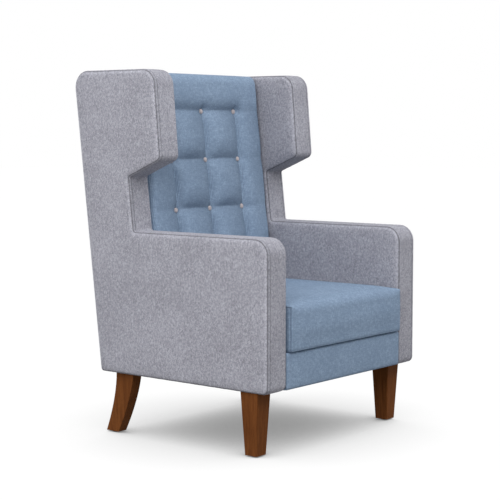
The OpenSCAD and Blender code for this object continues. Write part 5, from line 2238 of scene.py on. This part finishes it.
@dataclass(frozen=True)
class Lamp:
    """A square area lamp that looks at the middle of the chair."""

    name: str
    at: tuple[float, float, float]
    power: float
    size: float = 2.4
    aim: tuple[float, float, float] = (0.0, 0.0, 0.5)

    def build(self) -> bpy.types.Object:
        """Adds the lamp, turned by the angles of the way from it to its aim.

        Returns:
            The lamp.
        """
        data = bpy.data.lights.new(self.name, "AREA")
        data.shape = "SQUARE"
        data.size = self.size
        data.energy = self.power
        obj = bpy.data.objects.new(self.name, data)
        way = np.array(self.aim) - np.array(self.at)
        way = way / np.linalg.norm(way)
        obj.location = self.at
        obj.rotation_euler = (math.acos(-way[2]), 0.0, math.atan2(way[1], way[0]) - math.pi / 2)
        bpy.context.scene.collection.objects.link(obj)
        return obj


@dataclass
class Stage:
    """The pale floor, the lamps, the world and the camera."""

    camera_at: tuple[float, float, float] = (-3.5453, -2.8251, 0.9458)
    pitch: float = 85.15
    yaw: float = -51.47
    lens: float = 103.1
    sensor: float = 36.0
    floor_radii: tuple[float, ...] = (0.0, 1.0, 2.0, 4.0, 9.0, 30.0)
    floor_grey: float = 0.32
    floor_light: float = 1.12
    floor_glow_share: float = 0.88
    shadow_reach: float = 0.6
    shadow_tones: tuple[tuple[float, float], ...] = ((0.0, 0.13), (0.28, 0.40), (0.60, 0.84),
                                                     (0.87, 1.0))
    world_light: float = 0.48
    lamps: tuple[Lamp, ...] = (
        Lamp("key", (-2.6, -1.6, 2.6), 46.0), Lamp("high_left", (-2.2, -0.6, 3.3), 14.0),
        Lamp("top_front", (0.2, -2.3, 3.2), 55.0), Lamp("high_right", (2.6, -1.6, 3.2), 12.0),
        Lamp("left", (-3.6, 0.6, 1.6), 45.0))

    def floor_finish(self) -> bpy.types.Material:
        """Makes the floor's material: a glow that shows white, dimmed near the chair.

        The dimming is a painted shadow: it goes by how much of the space above a place is covered
        within the reach.

        Returns:
            The material.
        """
        n = Surface.named("white_floor")
        n.give("Base Color", (self.floor_grey,) * 3)
        n.give("Roughness", 0.9)
        n.give("Specular IOR Level", 0.0)
        # Painted shadow: ambient occlusion dims the floor's glow near the chair
        near = n.add("ShaderNodeAmbientOcclusion", samples=24)
        near.inputs["Distance"].default_value = self.shadow_reach
        glow = n.add("ShaderNodeEmission")
        glow.inputs["Strength"].default_value = self.floor_light
        n.link(n.ramp(near.outputs["AO"], *((at, (tone,) * 3) for at, tone in self.shadow_tones)),
               glow.inputs["Color"])
        join = n.add("ShaderNodeMixShader")
        n.link(n.math("MULTIPLY", n.seen(), self.floor_glow_share), join.inputs[0])
        n.link(n.shader.outputs["BSDF"], join.inputs[1])
        n.link(glow.outputs[0], join.inputs[2])
        n.link(join.outputs[0], n.out)
        return n.owner

    def floor(self) -> bpy.types.Object:
        """Makes the round floor as a grid of radius and angle.

        Returns:
            The floor.
        """
        angle = np.linspace(0, 2 * math.pi, 97)
        r, a = np.meshgrid(np.array(self.floor_radii), angle, indexing="ij")
        points = np.stack([r * np.cos(a), r * np.sin(a), 0 * r], axis=-1).reshape(-1, 3)
        patch = grid_patch(np.arange(len(points)).reshape(r.shape), r, a)
        obj = make_object("floor", points, [patch])
        obj.data.materials.append(self.floor_finish())
        return obj

    def world(self) -> bpy.types.World:
        """Makes the surroundings: white to the camera, and a soft even light to the chair.

        Returns:
            The world.
        """
        n = Nodes(bpy.data.worlds.new("studio"))
        mix = n.add("ShaderNodeMixShader")
        n.link(n.seen(), mix.inputs[0])
        for socket, strength in ((mix.inputs[1], self.world_light), (mix.inputs[2], 1.0)):
            light = n.add("ShaderNodeBackground")
            n.feed(light.inputs["Color"], (1, 1, 1))
            n.feed(light.inputs["Strength"], strength)
            n.link(light.outputs[0], socket)
        n.link(mix.outputs[0], n.add("ShaderNodeOutputWorld").inputs["Surface"])
        bpy.context.scene.world = n.owner
        return n.owner

    def camera(self) -> bpy.types.Object:
        """Makes the camera at the photograph's place.

        Returns:
            The camera.
        """
        data = bpy.data.cameras.new("camera")
        data.lens = self.lens
        data.sensor_width = self.sensor
        data.sensor_fit = "HORIZONTAL"
        data.clip_end = 100
        obj = bpy.data.objects.new("camera", data)
        obj.location = self.camera_at
        obj.rotation_euler = (math.radians(self.pitch), 0.0, math.radians(self.yaw))
        bpy.context.scene.collection.objects.link(obj)
        bpy.context.scene.camera = obj
        return obj

    def build(self) -> None:
        """Makes the whole stage."""
        self.floor()
        for lamp in self.lamps:
            lamp.build()
        self.world()
        self.camera()


def main() -> None:
    """Builds the chair's pieces in order."""
    logging.basicConfig(level=logging.INFO, format="%(name)s %(message)s")
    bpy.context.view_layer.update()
    HardParts().build()
    for side in Side:
        SidePanel(side).build()
    TuftedBack().build()
    SeatBase().build()
    SeatCushion().build()
    Stage().build()
    scene = bpy.context.scene
    scene.view_settings.view_transform = "Standard"
    bpy.context.view_layer.update()


if __name__ == "__main__":
    main()
